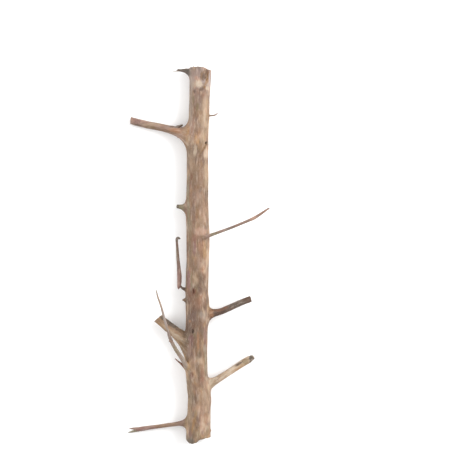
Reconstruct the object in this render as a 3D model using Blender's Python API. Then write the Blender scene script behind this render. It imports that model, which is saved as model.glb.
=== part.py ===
"""Aquarium root: a bare, weathered stick with its side branches broken or sawn short.

It lies on its back along Y, foot at -Y, and the face that is seen points up. The origin is under the
middle of its box. Sizes below are millimetres, and MM turns them into Blender's metres.
"""

import math

import bmesh
import bpy
from mathutils import Euler, Vector

MM = 0.001
GAP = 0.3
MEAN_RADIUS = 19.0
BACK_CALM = 0.85

TRUNK_SIDES = 26
TRUNK_STEP = 11.0
COLLAR_SIDES = 18
COLLAR_RINGS = 9
BRANCH_STEP = 8.0
TANGENT_REACH = 0.4
FLARE_ROUNDS = 12

# The trunk's middle line and girth: y, x, height of the line over the floor, radius.
TRUNK_LINE = (
    (-308, 0.4, 18.9, 19.4),
    (-291, 0.4, 18.9, 19.3),
    (-253, 1.6, 19.9, 18.6),
    (-229, 2.6, 20.1, 18.6),
    (-195, -1.4, 19.6, 17.5),
    (-157, -2.7, 19.7, 17.8),
    (-122, -1.6, 20.3, 17.9),
    (-80, -1.0, 21.1, 18.6),
    (-58, -2.1, 20.9, 17.8),
    (-13, -0.8, 20.2, 17.3),
    (26, -0.2, 20.4, 17.7),
    (83, -1.4, 20.1, 16.8),
    (122, -0.5, 19.3, 16.6),
    (150, -0.6, 19.0, 16.7),
    (189, -0.5, 19.1, 17.1),
    (218, 1.8, 18.3, 16.3),
    (246, 2.5, 17.7, 16.1),
    (285, 4.2, 17.1, 17.3),
    (308, 4.2, 16.9, 17.6),
)

# Slow swellings round the trunk: depth, lobes round it, turns per metre, start in radians.
FLUTES = (
    (0.65, 2, 1.9, 0.6),
    (0.50, 3, -2.7, 2.1),
    (0.35, 5, 3.4, 4.0),
    (0.25, 7, -4.6, 1.2),
)

# Knots grown over, as low mounds: y, angle round the trunk in degrees, height, half length, half width.
MOUNDS = (
    (35, 62, 1.3, 11, 8),
    (177, 38, 1.5, 9, 7),
    (-60, 104, 1.2, 10, 6),
    (-122, 118, 1.6, 11, 8),
    (-180, 128, 1.4, 12, 9),
    (273, 88, 1.1, 8, 9),
    (-250, 60, 0.9, 18, 8),
    (120, -48, 1.8, 13, 9),
    (-30, -140, 1.7, 12, 8),
    (-205, -55, 1.6, 10, 8),
    (60, 205, 1.2, 9, 7),
    (232, -145, 1.5, 10, 7),
)

# Each branch: its route from inside the trunk to its tip (x, y, z, radius), how far its collar stands
# out before the fork, and the collar's flare towards the top, towards the foot, across, and its reach.
BRANCHES = {
    "upper_left_branch": {
        "route": (
            (-3, 189, 19.5, 8.8),
            (-17, 190, 19.2, 8.8),
            (-28.8, 194.4, 18.4, 7.9),
            (-38.4, 197.9, 17.0, 7.0),
            (-51, 201.2, 14.4, 6.0),
            (-64, 204.2, 11.6, 5.7),
            (-80, 207.2, 8.8, 5.5),
            (-94.4, 210.6, 6.6, 5.4),
            (-109, 214.4, 5.4, 5.3),
        ),
        "stub": 15.0,
        "flare": (14.0, 15.0, 5.0, 5.0),
        "tip": "sawn",
    },
    "left_rising_twig": {
        "route": (
            (-6, -57, 20.5, 2.6),
            (-20, -56, 21.5, 2.5),
            (-25, -54.5, 22.3, 2.4),
            (-29.4, -50.0, 23.6, 2.9),
            (-29.0, -41.0, 24.6, 3.3),
            (-29.1, -28.8, 25.6, 3.2),
            (-29.9, -18.5, 26.3, 2.8),
            (-31.5, -6.4, 27.0, 2.4),
            (-32.5, 6.4, 27.4, 2.1),
            (-33.3, 17.6, 27.2, 1.8),
            (-33.6, 23.6, 27.0, 1.8),
        ),
        "stub": 4.8,
        "flare": (2.0, 2.0, 1.0, 2.0),
        "tip": "knob",
    },
    "thick_left_branch": {
        "route": (
            (-3, -151, 20.5, 8.6),
            (-14, -144.5, 20.3, 8.6),
            (-24, -136, 19.8, 8.5),
            (-36.8, -125.4, 18.6, 8.2),
            (-49.6, -115.2, 16.6, 7.8),
            (-64.5, -103.2, 13.6, 7.4),
        ),
        "stub": 11.0,
        "flare": (3.5, 15.0, 4.0, 6.0),
        "tip": "sawn",
    },
    "long_left_twig": {
        "route": (
            (-8, -187, 25.0, 3.4),
            (-17.4, -179, 32.4, 3.3),
            (-24.8, -166.4, 36.0, 3.1),
            (-35.4, -150.2, 38.6, 2.9),
            (-43.2, -134.6, 40.8, 2.5),
            (-47.8, -118.4, 42.6, 2.0),
            (-52.6, -102.4, 44.2, 1.8),
            (-57.4, -84.0, 45.6, 1.6),
            (-62.4, -69.4, 46.8, 1.4),
            (-65.2, -58.4, 47.4, 1.0),
        ),
        "stub": 5.0,
        "flare": (2.5, 5.0, 3.5, 4.0),
        "tip": "snapped",
    },
    "foot_left_branch": {
        "route": (
            (-3, -270, 15.5, 3.4),
            (-18, -271.6, 14.4, 3.4),
            (-28.8, -272.2, 12.6, 3.3),
            (-46, -274.6, 9.8, 3.1),
            (-62, -277.0, 8.0, 3.2),
            (-78, -279.2, 6.8, 3.5),
            (-92, -281.6, 6.0, 3.7),
            (-104, -283.4, 5.6, 3.6),
        ),
        "stub": 10.0,
        "flare": (13.0, 8.0, 4.0, 4.5),
        "tip": "forked",
    },
    "slender_right_twig": {
        "route": (
            (2, 24, 27.0, 2.6),
            (12.2, 27.4, 35.4, 2.4),
            (24, 31.0, 39.6, 2.1),
            (37.4, 35.0, 43.0, 2.2),
            (54.6, 41.8, 46.8, 2.0),
            (76, 52.2, 51.2, 2.0),
            (89, 57.3, 53.6, 2.2),
            (98, 63.4, 55.0, 1.7),
            (112.4, 74.6, 57.2, 1.0),
        ),
        "stub": 4.0,
        "flare": (2.5, 2.5, 2.5, 3.0),
        "tip": "snapped",
    },
    "middle_right_branch": {
        "route": (
            (-2, -97, 20.8, 5.8),
            (14, -95.4, 20.6, 5.8),
            (24, -94.0, 20.0, 5.7),
            (32, -92.8, 19.2, 5.4),
            (39.5, -90.6, 18.0, 5.2),
            (55.2, -84.2, 15.2, 5.0),
            (67.8, -78.7, 13.2, 4.8),
            (84.5, -72.4, 11.6, 4.6),
        ),
        "stub": 9.0,
        "flare": (5.0, 11.0, 3.5, 4.5),
        "tip": "sawn",
    },
    "lower_right_branch": {
        "route": (
            (-4, -219, 20.0, 6.2),
            (12, -211.6, 19.4, 6.0),
            (20, -207.2, 18.6, 5.8),
            (30, -201.6, 16.8, 5.3),
            (44, -193.0, 13.8, 4.9),
            (58, -184.2, 10.5, 4.8),
            (72, -175.4, 7.1, 5.0),
            (87.4, -166.6, 4.3, 5.1),
        ),
        "stub": 8.0,
        "flare": (6.0, 6.0, 3.0, 4.5),
        "tip": "worn",
    },
}

# Stubs too short to be branches. They are part of the trunk.
STUBS = {
    "crown_splinter": {
        "route": (
            (-4, 288, 17.5, 5.0),
            (-16, 291, 18.2, 4.0),
            (-24, 292.6, 18.8, 3.0),
            (-33, 293, 19.4, 1.8),
            (-42, 293.2, 20.0, 0.5),
        ),
        "flare": (1.0, 7.0, 2.0, 4.0),
    },
    "left_peg": {
        "route": (
            (-4, 75, 20.5, 4.6),
            (-20, 74, 21.6, 4.2),
            (-27, 75, 22.4, 3.4),
            (-33.6, 76, 23.0, 2.8),
        ),
        "flare": (9.0, 10.0, 3.5, 4.0),
    },
    "right_thorn": {
        "route": (
            (4, 219, 20.0, 2.0),
            (16, 221.4, 21.4, 1.7),
            (24, 222.2, 22.4, 1.2),
            (30.5, 225.6, 23.6, 0.7),
        ),
        "flare": (2.5, 2.5, 1.5, 2.5),
    },
    "left_spur": {
        "route": (
            (-8, -187, 22.0, 3.0),
            (-19, -181.8, 24.0, 2.4),
            (-27, -175.0, 25.0, 1.6),
            (-36, -167.0, 26.0, 0.8),
        ),
        "flare": (3.0, 4.0, 2.5, 3.0),
    },
    "left_pimple": {
        "route": (
            (-12, -74, 21.0, 3.2),
            (-21, -73.6, 21.4, 2.6),
            (-24.6, -73.4, 21.6, 1.4),
        ),
        "flare": (3.0, 3.0, 1.5, 2.0),
    },
    "foot_chip": {
        "route": (
            (8, -283, 19.5, 5.4),
            (17.5, -285.4, 20.5, 4.2),
            (22.4, -286.4, 21.0, 2.6),
        ),
        "flare": (2.0, 1.0, 2.0, 2.0),
    },
}

# The rising twig ends in a small hook, and a pointed heel hangs below the place where it is held.
# Each is a ball: middle, half sizes, turn about Z in degrees.
TWIG_KNOBS = {
    "hook": ((-31.9, 25.2, 27.0), (3.6, 2.1, 2.4), -8.0),
    "heel": ((-30.2, -49.0, 23.4), (2.3, 6.6, 2.3), 4.0),
}

# The foot branch ends in two prongs of torn wood: how far each reaches past the branch's end, and
# which side of its middle line it starts on.
PRONGS = {
    "upper": ((-7.2, 0.6, 0.2), 1),
    "lower": ((-9.2, -4.6, -1.0), -1),
}
PRONG_ROOT = 6.0
PRONG_SPREAD = (1.44, 1.12)
PRONG_RADII = (1.6, 1.7, 0.4)

# How much of its radius is left at the tip of a branch that wore or snapped off.
TIP_TAPER = {"worn": 0.8, "snapped": 0.6}

# What is taken off past the foot and past the top, as outlines seen from above.
FOOT_CUT = (
    (-40, -276),
    (-21, -292.5),
    (-17.8, -298.6),
    (-14.2, -301.6),
    (-7.0, -302.2),
    (-2.2, -299.8),
    (3.2, -296.4),
    (11, -294.0),
    (20, -292.8),
    (40, -292.2),
    (40, -330),
    (-40, -330),
)
TOP_CUT = (
    (-60, 296.4),
    (-16, 297.6),
    (-12.4, 298.4),
    (-11.4, 300.8),
    (-10.2, 298.9),
    (-2, 299.0),
    (8, 298.4),
    (15, 296.0),
    (21, 294.0),
    (60, 293.6),
    (60, 330),
    (-60, 330),
)

# Hollows, as the ball that is scooped out: middle, half sizes, turn about Z in degrees.
HOLLOWS = {
    "crown_hollow": ((10.4, 293.0, 34.6), (5.0, 12.5, 6.0), -8.0),
    "knot_hole": ((-10.6, -121.6, 37.6), (2.6, 3.8, 4.2), 10.0),
    "side_knot": ((13.4, 176.6, 32.6), (2.4, 3.4, 3.6), -25.0),
}

# The floor's box, taken off under the back, and the depth of every cutting plate.
FLOOR = ((-60, -320), (60, -320), (60, 320), (-60, 320))
PLATE_DEPTH = 40.0

COLOURS = {
    "trunk": (165, 135, 112),
    "upper_left_branch": (160, 134, 118),
    "left_rising_twig": (128, 108, 98),
    "thick_left_branch": (138, 118, 94),
    "long_left_twig": (158, 138, 122),
    "foot_left_branch": (140, 116, 102),
    "slender_right_twig": (150, 128, 114),
    "middle_right_branch": (120, 98, 86),
    "lower_right_branch": (184, 158, 130),
}
WOOD_ROUGHNESS = 0.62


def clear_scene():
    for thing in list(bpy.data.objects):
        bpy.data.objects.remove(thing, do_unlink=True)


def make_collections():
    parts = bpy.data.collections.new("aquarium_root")
    cutters = bpy.data.collections.new("cutters")
    bpy.context.scene.collection.children.link(parts)
    bpy.context.scene.collection.children.link(cutters)
    cutters.hide_render = True
    return parts, cutters


def linear(channel):
    value = channel / 255
    return value / 12.92 if value <= 0.04045 else ((value + 0.055) / 1.055) ** 2.4


def wood(name):
    material = bpy.data.materials.new(name + "_wood")
    material.use_nodes = True
    shader = material.node_tree.nodes["Principled BSDF"]
    shader.inputs["Base Color"].default_value = (*[linear(c) for c in COLOURS[name]], 1.0)
    shader.inputs["Roughness"].default_value = WOOD_ROUGHNESS
    shader.inputs["Metallic"].default_value = 0.0
    return material


def smooth_line(points, steps=16):
    """Points on the smooth curve that passes through every given row of numbers."""
    rows = [Vector(row) for row in points]
    rows = [2 * rows[0] - rows[1], *rows, 2 * rows[-1] - rows[-2]]
    line = []
    for a, b, c, d in zip(rows, rows[1:], rows[2:], rows[3:]):
        slope = c - a
        bend = 2 * a - 5 * b + 4 * c - d
        twist = 3 * b - a - 3 * c + d
        for i in range(steps):
            t = i / steps
            line.append(0.5 * (2 * b + slope * t + bend * t**2 + twist * t**3))
    line.append(rows[-2].copy())
    return line


def distances(line):
    """How far along the line each of its points is. Only x, y and z count, not the radius."""
    reach = [0.0]
    for a, b in zip(line, line[1:]):
        reach.append(reach[-1] + (b.xyz - a.xyz).length)
    return reach


def at(line, reach, distance):
    """The row (x, y, z, radius) at a distance along a line."""
    for i in range(len(line) - 1):
        if distance <= reach[i + 1]:
            t = (distance - reach[i]) / max(reach[i + 1] - reach[i], 1e-9)
            return line[i].lerp(line[i + 1], t)
    return line[-1].copy()


def stations(line, first, last, count):
    """Rows spaced evenly between two distances along a line, both ends included."""
    reach = distances(line)
    return [at(line, reach, first + (last - first) * i / (count - 1)) for i in range(count)]


TRUNK_CURVE = smooth_line([(x, y, z, r) for y, x, z, r in TRUNK_LINE])


def trunk_at(y):
    """The row (x, y, z, radius) of the trunk's middle line at a height y."""
    for a, b in zip(TRUNK_CURVE, TRUNK_CURVE[1:]):
        if y <= b.y:
            return a.lerp(b, (y - a.y) / (b.y - a.y))
    return TRUNK_CURVE[-1].copy()


def girth(angle, y):
    """How far the surface stands out from the round trunk. It is nearly nothing on the back it lies on."""
    bulge = 0.0
    for depth, lobes, turns, start in FLUTES:
        bulge += depth * math.sin(lobes * angle + 2 * math.pi * turns * y * MM + start)
    for y0, degrees, height, half_length, half_width in MOUNDS:
        off = (angle - math.radians(degrees) + math.pi) % (2 * math.pi) - math.pi
        spread = ((y - y0) / half_length) ** 2 + (off * MEAN_RADIUS / half_width) ** 2
        bulge += height * math.exp(-spread)
    back = max(0.0, -math.sin(angle)) ** 4
    return bulge * (1 - BACK_CALM * back)


def place(name, mesh, collection):
    mesh.shade_smooth()
    mesh.set_sharp_from_angle(angle=math.radians(50))
    obj = bpy.data.objects.new(name, mesh)
    collection.objects.link(obj)
    return obj


def tube(name, rows, resolution, collection):
    """A closed round tube through rows of x, y, z and radius."""
    curve = bpy.data.curves.new(name, "CURVE")
    curve.dimensions = "3D"
    curve.bevel_depth = MM
    curve.bevel_resolution = resolution
    curve.use_fill_caps = True
    spline = curve.splines.new("POLY")
    spline.points.add(len(rows) - 1)
    for point, row in zip(spline.points, rows):
        point.co = (*(row.xyz * MM), 1.0)
        point.radius = row[3]
    guide = bpy.data.objects.new(name + "_line", curve)
    collection.objects.link(guide)
    bpy.context.view_layer.update()
    graph = bpy.context.evaluated_depsgraph_get()
    mesh = bpy.data.meshes.new_from_object(guide.evaluated_get(graph))
    bpy.data.objects.remove(guide, do_unlink=True)
    shape = bmesh.new()
    shape.from_mesh(mesh)
    bmesh.ops.remove_doubles(shape, verts=shape.verts, dist=0.00001)
    bmesh.ops.recalc_face_normals(shape, faces=shape.faces)
    shape.to_mesh(mesh)
    shape.free()
    mesh.name = name
    return place(name, mesh, collection)


def flared(middle, direction, radius, lift, fade):
    """The reach of a collar in one direction: full inside the trunk, and fading with height over it."""
    reach = radius
    for _ in range(FLARE_ROUNDS):
        edge = middle + direction * reach
        core = trunk_at(edge.y)
        over = math.hypot(edge.x - core.x, edge.z - core.z) - core[3]
        reach = (reach + radius + lift * math.exp(-max(0.0, over) / fade)) / 2
    return reach


def collar(name, line, last, flare, collection):
    """A loft from a wide oval inside the trunk to the round section of the branch that leaves it."""
    towards_top, towards_foot, across, fade = flare
    reach = distances(line)
    shape = bmesh.new()
    rings = []
    for i in range(COLLAR_RINGS):
        distance = last * i / (COLLAR_RINGS - 1)
        row = at(line, reach, distance)
        before = at(line, reach, max(distance - TANGENT_REACH, 0.0))
        after = at(line, reach, distance + TANGENT_REACH)
        tangent = (after.xyz - before.xyz).normalized()
        upward = (Vector((0, 1, 0)) - tangent * tangent.y).normalized()
        sideways = tangent.cross(upward)
        ring = []
        for k in range(COLLAR_SIDES):
            turn = 2 * math.pi * k / COLLAR_SIDES
            direction = math.cos(turn) * upward + math.sin(turn) * sideways
            along = towards_top if math.cos(turn) > 0 else towards_foot
            lift = along * math.cos(turn) ** 2 + across * math.sin(turn) ** 2
            if i == COLLAR_RINGS - 1:
                lift = 0.0
            edge = row.xyz + direction * flared(row.xyz, direction, row[3], lift, fade)
            ring.append(shape.verts.new(edge * MM))
        rings.append(ring)
    for lower, upper in zip(rings, rings[1:]):
        for k in range(COLLAR_SIDES):
            n = (k + 1) % COLLAR_SIDES
            shape.faces.new((lower[k], lower[n], upper[n], upper[k]))
    shape.faces.new(rings[0])
    shape.faces.new(rings[-1])
    bmesh.ops.recalc_face_normals(shape, faces=shape.faces)
    mesh = bpy.data.meshes.new(name)
    shape.to_mesh(mesh)
    shape.free()
    return place(name, mesh, collection)


def leaves_trunk(line):
    """The distance along a route at which it comes out of the trunk."""
    for row, reach in zip(line, distances(line)):
        core = trunk_at(row.y)
        if math.hypot(row.x - core.x, row.z - core.z) > core[3]:
            return reach
    raise ValueError("the route never leaves the trunk")


def boolean(target, other, operation):
    other.hide_render = True
    other.display_type = "WIRE"
    modifier = target.modifiers.new(other.name, "BOOLEAN")
    modifier.operation = operation
    modifier.solver = "EXACT"
    modifier.object = other


def slab(name, outline, collection):
    """A thick plate of the given outline, seen from above."""
    curve = bpy.data.curves.new(name, "CURVE")
    curve.dimensions = "2D"
    curve.fill_mode = "BOTH"
    curve.extrude = PLATE_DEPTH * MM
    spline = curve.splines.new("POLY")
    spline.points.add(len(outline) - 1)
    for point, (x, y) in zip(spline.points, outline):
        point.co = (x * MM, y * MM, 0.0, 1.0)
    spline.use_cyclic_u = True
    guide = bpy.data.objects.new(name + "_outline", curve)
    collection.objects.link(guide)
    bpy.context.view_layer.update()
    graph = bpy.context.evaluated_depsgraph_get()
    mesh = bpy.data.meshes.new_from_object(guide.evaluated_get(graph))
    bpy.data.objects.remove(guide, do_unlink=True)
    shape = bmesh.new()
    shape.from_mesh(mesh)
    bmesh.ops.remove_doubles(shape, verts=shape.verts, dist=0.00001)
    bmesh.ops.recalc_face_normals(shape, faces=shape.faces)
    shape.to_mesh(mesh)
    shape.free()
    mesh.name = name
    obj = bpy.data.objects.new(name, mesh)
    collection.objects.link(obj)
    return obj


def ball(name, middle, half_sizes, turn, collection):
    shape = bmesh.new()
    bmesh.ops.create_uvsphere(shape, u_segments=12, v_segments=8, radius=1.0)
    mesh = bpy.data.meshes.new(name)
    shape.to_mesh(mesh)
    shape.free()
    obj = bpy.data.objects.new(name, mesh)
    obj.location = Vector(middle) * MM
    obj.scale = Vector(half_sizes) * MM
    obj.rotation_euler = Euler((0.0, 0.0, math.radians(turn)))
    collection.objects.link(obj)
    return obj


def make_trunk(parts):
    length = distances(TRUNK_CURVE)[-1]
    rows = stations(TRUNK_CURVE, 0.0, length, round(length / TRUNK_STEP))
    trunk = tube("trunk", rows, TRUNK_SIDES // 2 - 2, parts)
    for vertex in trunk.data.vertices:
        y = vertex.co.y / MM
        core = trunk_at(y)
        angle = math.atan2(vertex.co.z / MM - core.z, vertex.co.x / MM - core.x)
        out = Vector((math.cos(angle), 0.0, math.sin(angle)))
        vertex.co += out * girth(angle, y) * MM
    return trunk


def add_collars(trunk, cutters):
    for name, branch in BRANCHES.items():
        line = smooth_line(branch["route"])
        last = leaves_trunk(line) + branch["stub"]
        boolean(trunk, collar(name + "_collar", line, last, branch["flare"], cutters), "UNION")
    for name, stub in STUBS.items():
        line = smooth_line(stub["route"])
        last = distances(line)[-1]
        boolean(trunk, collar(name, line, last, stub["flare"], cutters), "UNION")


def trim_trunk(trunk, cutters):
    boolean(trunk, slab("foot_cut", FOOT_CUT, cutters), "DIFFERENCE")
    boolean(trunk, slab("top_cut", TOP_CUT, cutters), "DIFFERENCE")
    for name, (middle, half_sizes, turn) in HOLLOWS.items():
        boolean(trunk, ball(name, middle, half_sizes, turn, cutters), "DIFFERENCE")
    # The back is worn flat where it lies on the floor.
    under = slab("floor_cut", FLOOR, cutters)
    under.location.z = -PLATE_DEPTH * MM
    boolean(trunk, under, "DIFFERENCE")


def branch_rows(branch):
    """The rows of a branch past its fork, starting one gap beyond the collar's flat end."""
    line = smooth_line(branch["route"])
    first = leaves_trunk(line) + branch["stub"] + GAP
    last = distances(line)[-1]
    rows = stations(line, first, last, max(4, round((last - first) / BRANCH_STEP)))
    # A second row close to the first turns the flat end square to the route, as the collar's end is.
    rows.insert(1, at(line, distances(line), first + TANGENT_REACH))
    rows[-1][3] *= TIP_TAPER.get(branch["tip"], 1.0)
    return rows


def make_branch(name, branch, parts, cutters):
    rows = branch_rows(branch)
    obj = tube(name, rows, 4, parts)
    if branch["tip"] == "knob":
        for label, (middle, half_sizes, turn) in TWIG_KNOBS.items():
            boolean(obj, ball(name + "_" + label, middle, half_sizes, turn, cutters), "UNION")
    if branch["tip"] == "forked":
        end = rows[-1].xyz
        for label, (reach, side) in PRONGS.items():
            root = end + Vector((PRONG_ROOT, side * PRONG_SPREAD[0], 0.0))
            middle = end + Vector(reach) * 0.3 + Vector((0.0, side * PRONG_SPREAD[1], 0.0))
            places = (root, middle, end + Vector(reach))
            prong = [Vector((*place_at, radius)) for place_at, radius in zip(places, PRONG_RADII)]
            boolean(obj, tube(name + "_" + label, prong, 2, cutters), "UNION")
    return obj


def main():
    clear_scene()
    parts, cutters = make_collections()
    trunk = make_trunk(parts)
    add_collars(trunk, cutters)
    trim_trunk(trunk, cutters)
    trunk.data.materials.append(wood("trunk"))
    for name, branch in BRANCHES.items():
        obj = make_branch(name, branch, parts, cutters)
        obj.data.materials.append(wood(name))


main()
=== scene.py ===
import math
from itertools import product

import bmesh
import bpy
import numpy as np
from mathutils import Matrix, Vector


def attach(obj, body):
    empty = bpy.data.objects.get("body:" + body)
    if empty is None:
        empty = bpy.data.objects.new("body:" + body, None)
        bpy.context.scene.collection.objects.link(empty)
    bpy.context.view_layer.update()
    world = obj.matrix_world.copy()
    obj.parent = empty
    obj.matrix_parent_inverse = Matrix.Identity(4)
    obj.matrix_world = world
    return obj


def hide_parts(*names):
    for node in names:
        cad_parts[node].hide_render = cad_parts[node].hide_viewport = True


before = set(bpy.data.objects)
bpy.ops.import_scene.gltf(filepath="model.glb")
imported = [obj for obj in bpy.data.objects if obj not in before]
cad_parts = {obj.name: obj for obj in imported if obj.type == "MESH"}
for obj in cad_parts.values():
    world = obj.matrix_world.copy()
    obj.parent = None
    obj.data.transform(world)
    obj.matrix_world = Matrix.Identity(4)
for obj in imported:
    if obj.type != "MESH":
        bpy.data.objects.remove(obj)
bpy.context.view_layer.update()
print("frame loaded")

mm = 0.001
lowest = 0.02  # how far over the floor the lowest points stay
toTop = np.array((0.0, 1.0, 0.0))

# camera, floor and light

studio = {
    "middle": (59.2, 30.4), "plane": 20.0, "across": 752.0, "distance": 2400.0, "pixels": 470,
    "sensor": 36.0, "clip": 20.0, "lampDistance": 2.0,
    "keyWay": (1.0, 0.42, 0.72), "keyPower": 56.0, "keySize": 1.6,
    "fillWay": (-1.0, 0.15, 0.42), "fillPower": 30.0, "fillSize": 2.0,
    "skyColour": (1.0, 1.0, 1.0), "skyStrength": 0.95,
    "floorTone": (0.93, 0.93, 0.93), "floorSize": 7.0, "floorRoughness": 0.9,
}


def makeStudio():
    scene = bpy.context.scene
    scene.view_settings.view_transform = "Standard"
    scene.view_settings.look = "None"
    x, y = studio["middle"]
    lens = bpy.data.cameras.new("camera")
    lens.sensor_width = studio["sensor"]
    lens.lens = studio["sensor"] * studio["distance"] / studio["across"]
    lens.clip_end = studio["clip"]
    camera = bpy.data.objects.new("camera", lens)
    camera.location = (x * mm, y * mm, (studio["plane"] + studio["distance"]) * mm)
    scene.collection.objects.link(camera)
    scene.camera = camera
    for name in ("key", "fill"):
        way = Vector(studio[name + "Way"]).normalized()
        light = bpy.data.lights.new(name + "Light", "AREA")
        light.shape = "DISK"
        light.size = studio[name + "Size"]
        light.energy = studio[name + "Power"]
        lamp = bpy.data.objects.new(name + "Light", light)
        lamp.location = way * studio["lampDistance"]
        lamp.rotation_euler = way.to_track_quat("Z", "Y").to_euler()
        scene.collection.objects.link(lamp)
    sky = bpy.data.worlds.new("sky")
    sky.use_nodes = True
    sky.node_tree.nodes["Background"].inputs["Color"].default_value = (*studio["skyColour"], 1.0)
    sky.node_tree.nodes["Background"].inputs["Strength"].default_value = studio["skyStrength"]
    scene.world = sky
    mesh = bpy.data.meshes.new("floor")
    half = studio["floorSize"] / 2
    corners = [(-half, -half, 0), (half, -half, 0), (half, half, 0), (-half, half, 0)]
    mesh.from_pydata(corners, [], [(0, 1, 2, 3)])
    floor = bpy.data.objects.new("floor", mesh)
    scene.collection.objects.link(floor)
    paper = bpy.data.materials.new("paleFloor")
    paper.use_nodes = True
    shader = paper.node_tree.nodes["Principled BSDF"]
    shader.inputs["Base Color"].default_value = (*studio["floorTone"], 1.0)
    shader.inputs["Roughness"].default_value = studio["floorRoughness"]
    mesh.materials.append(paper)


def seenAt(points):
    # where the camera sees each point, in pixels of the picture
    x, y = studio["middle"]
    zoom = studio["distance"] / (studio["plane"] + studio["distance"] - points[..., 2])
    scale = studio["across"] / studio["pixels"]
    half = studio["pixels"] / 2
    px = half + (points[..., 0] - x) * zoom / scale
    py = half - (points[..., 1] - y) * zoom / scale
    return px, py


makeStudio()
print("studio made")

# small helpers: noise, smooth lines, routes


def lattice(x, y, z, seed):
    h = (x * 374761393 + y * 668265263 + z * 1440662683 + seed * 1274126177) & 0xFFFFFFFF
    h = ((h ^ (h >> 13)) * 1274126177) & 0xFFFFFFFF
    return ((h ^ (h >> 16)) & 0xFFFF) / 32767.5 - 1.0


def noise(points, size, seed=0):
    # smooth random values from -1 to 1, where size is how wide one lump is along each axis
    p = points / np.asarray(size, float) + seed * 17.31
    base = np.floor(p)
    f = p - base
    f = f * f * f * (f * (f * 6 - 15) + 10)
    base = base.astype(np.int64)
    total = np.zeros(p.shape[:-1])
    for corner in product((0, 1), repeat=3):
        weight = np.ones(p.shape[:-1])
        for axis in range(3):
            weight = weight * (f[..., axis] if corner[axis] else 1 - f[..., axis])
        total += weight * lattice(*(base[..., a] + corner[a] for a in range(3)), seed)
    return total


def layered(points, size, seed=0, layers=3):
    size = np.asarray(size, float)
    total = 0.0
    for k in range(layers):
        total = total + noise(points, size / 2**k, seed + 5 * k) / 2**k
    return total / (2 - 2 ** (1 - layers))


def ramp(low, high, value):
    t = np.clip((value - low) / (high - low), 0, 1)
    return t * t * (3 - 2 * t)


def unit(v):
    return v / np.maximum(np.linalg.norm(v, axis=-1, keepdims=True), 1e-9)


def turnFrom(angle, degrees):
    # how far round an angle lies from one in degrees, from -pi to pi
    return (angle - np.radians(degrees) + math.pi) % (2 * math.pi) - math.pi


def spotGap(across, along, halfWidth, halfLength, turn):
    # 1 on the rim of a turned oval spot, less inside it
    c, s = math.cos(math.radians(turn)), math.sin(math.radians(turn))
    return np.hypot((c * across + s * along) / halfWidth, (c * along - s * across) / halfLength)


def halved(low, high, isInside, rounds):
    # narrows the span between a reach inside and one outside down to the surface
    for _ in range(rounds):
        half = (low + high) / 2
        inside = isInside(half)
        low, high = np.where(inside, half, low), np.where(inside, high, half)
    return (low + high) / 2


def smoothLine(rows, steps=12):
    rows = np.asarray(rows, float)
    rows = np.vstack([2 * rows[0] - rows[1], rows, 2 * rows[-1] - rows[-2]])
    a, b, c, d = rows[:-3], rows[1:-2], rows[2:-1], rows[3:]
    t = (np.arange(steps) / steps)[None, :, None]
    a, b, c, d = (v[:, None] for v in (a, b, c, d))
    line = 0.5 * (2 * b + (c - a) * t + (2 * a - 5 * b + 4 * c - d) * t**2 + (3 * b - a - 3 * c + d) * t**3)
    return np.vstack([line.reshape(-1, rows.shape[1]), rows[-2]])


class Route:
    # a smooth line with a radius at each place

    def __init__(self, rows):
        self.line = smoothLine(rows)
        steps = np.linalg.norm(np.diff(self.line[:, :3], axis=0), axis=1)
        self.reach = np.concatenate([[0], np.cumsum(steps)])
        self.length = self.reach[-1]

    def at(self, s):
        return np.stack([np.interp(s, self.reach, self.line[:, i]) for i in range(4)], axis=-1)

    def way(self, s):
        ahead, behind = self.at(np.minimum(s + 0.4, self.length)), self.at(np.maximum(s - 0.4, 0))
        return unit(ahead[..., :3] - behind[..., :3])

    def nearest(self, points):
        a, b = self.line[:-1, :3], self.line[1:, :3]
        along = b - a
        t = ((points[:, None] - a) * along).sum(-1) / (along * along).sum(-1)
        t = np.clip(t, 0, 1)
        gap = ((points[:, None] - a - along * t[..., None]) ** 2).sum(-1)
        i = gap.argmin(1)
        return self.reach[i] + t[np.arange(len(i)), i] * (self.reach[i + 1] - self.reach[i])


# the trunk

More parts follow.
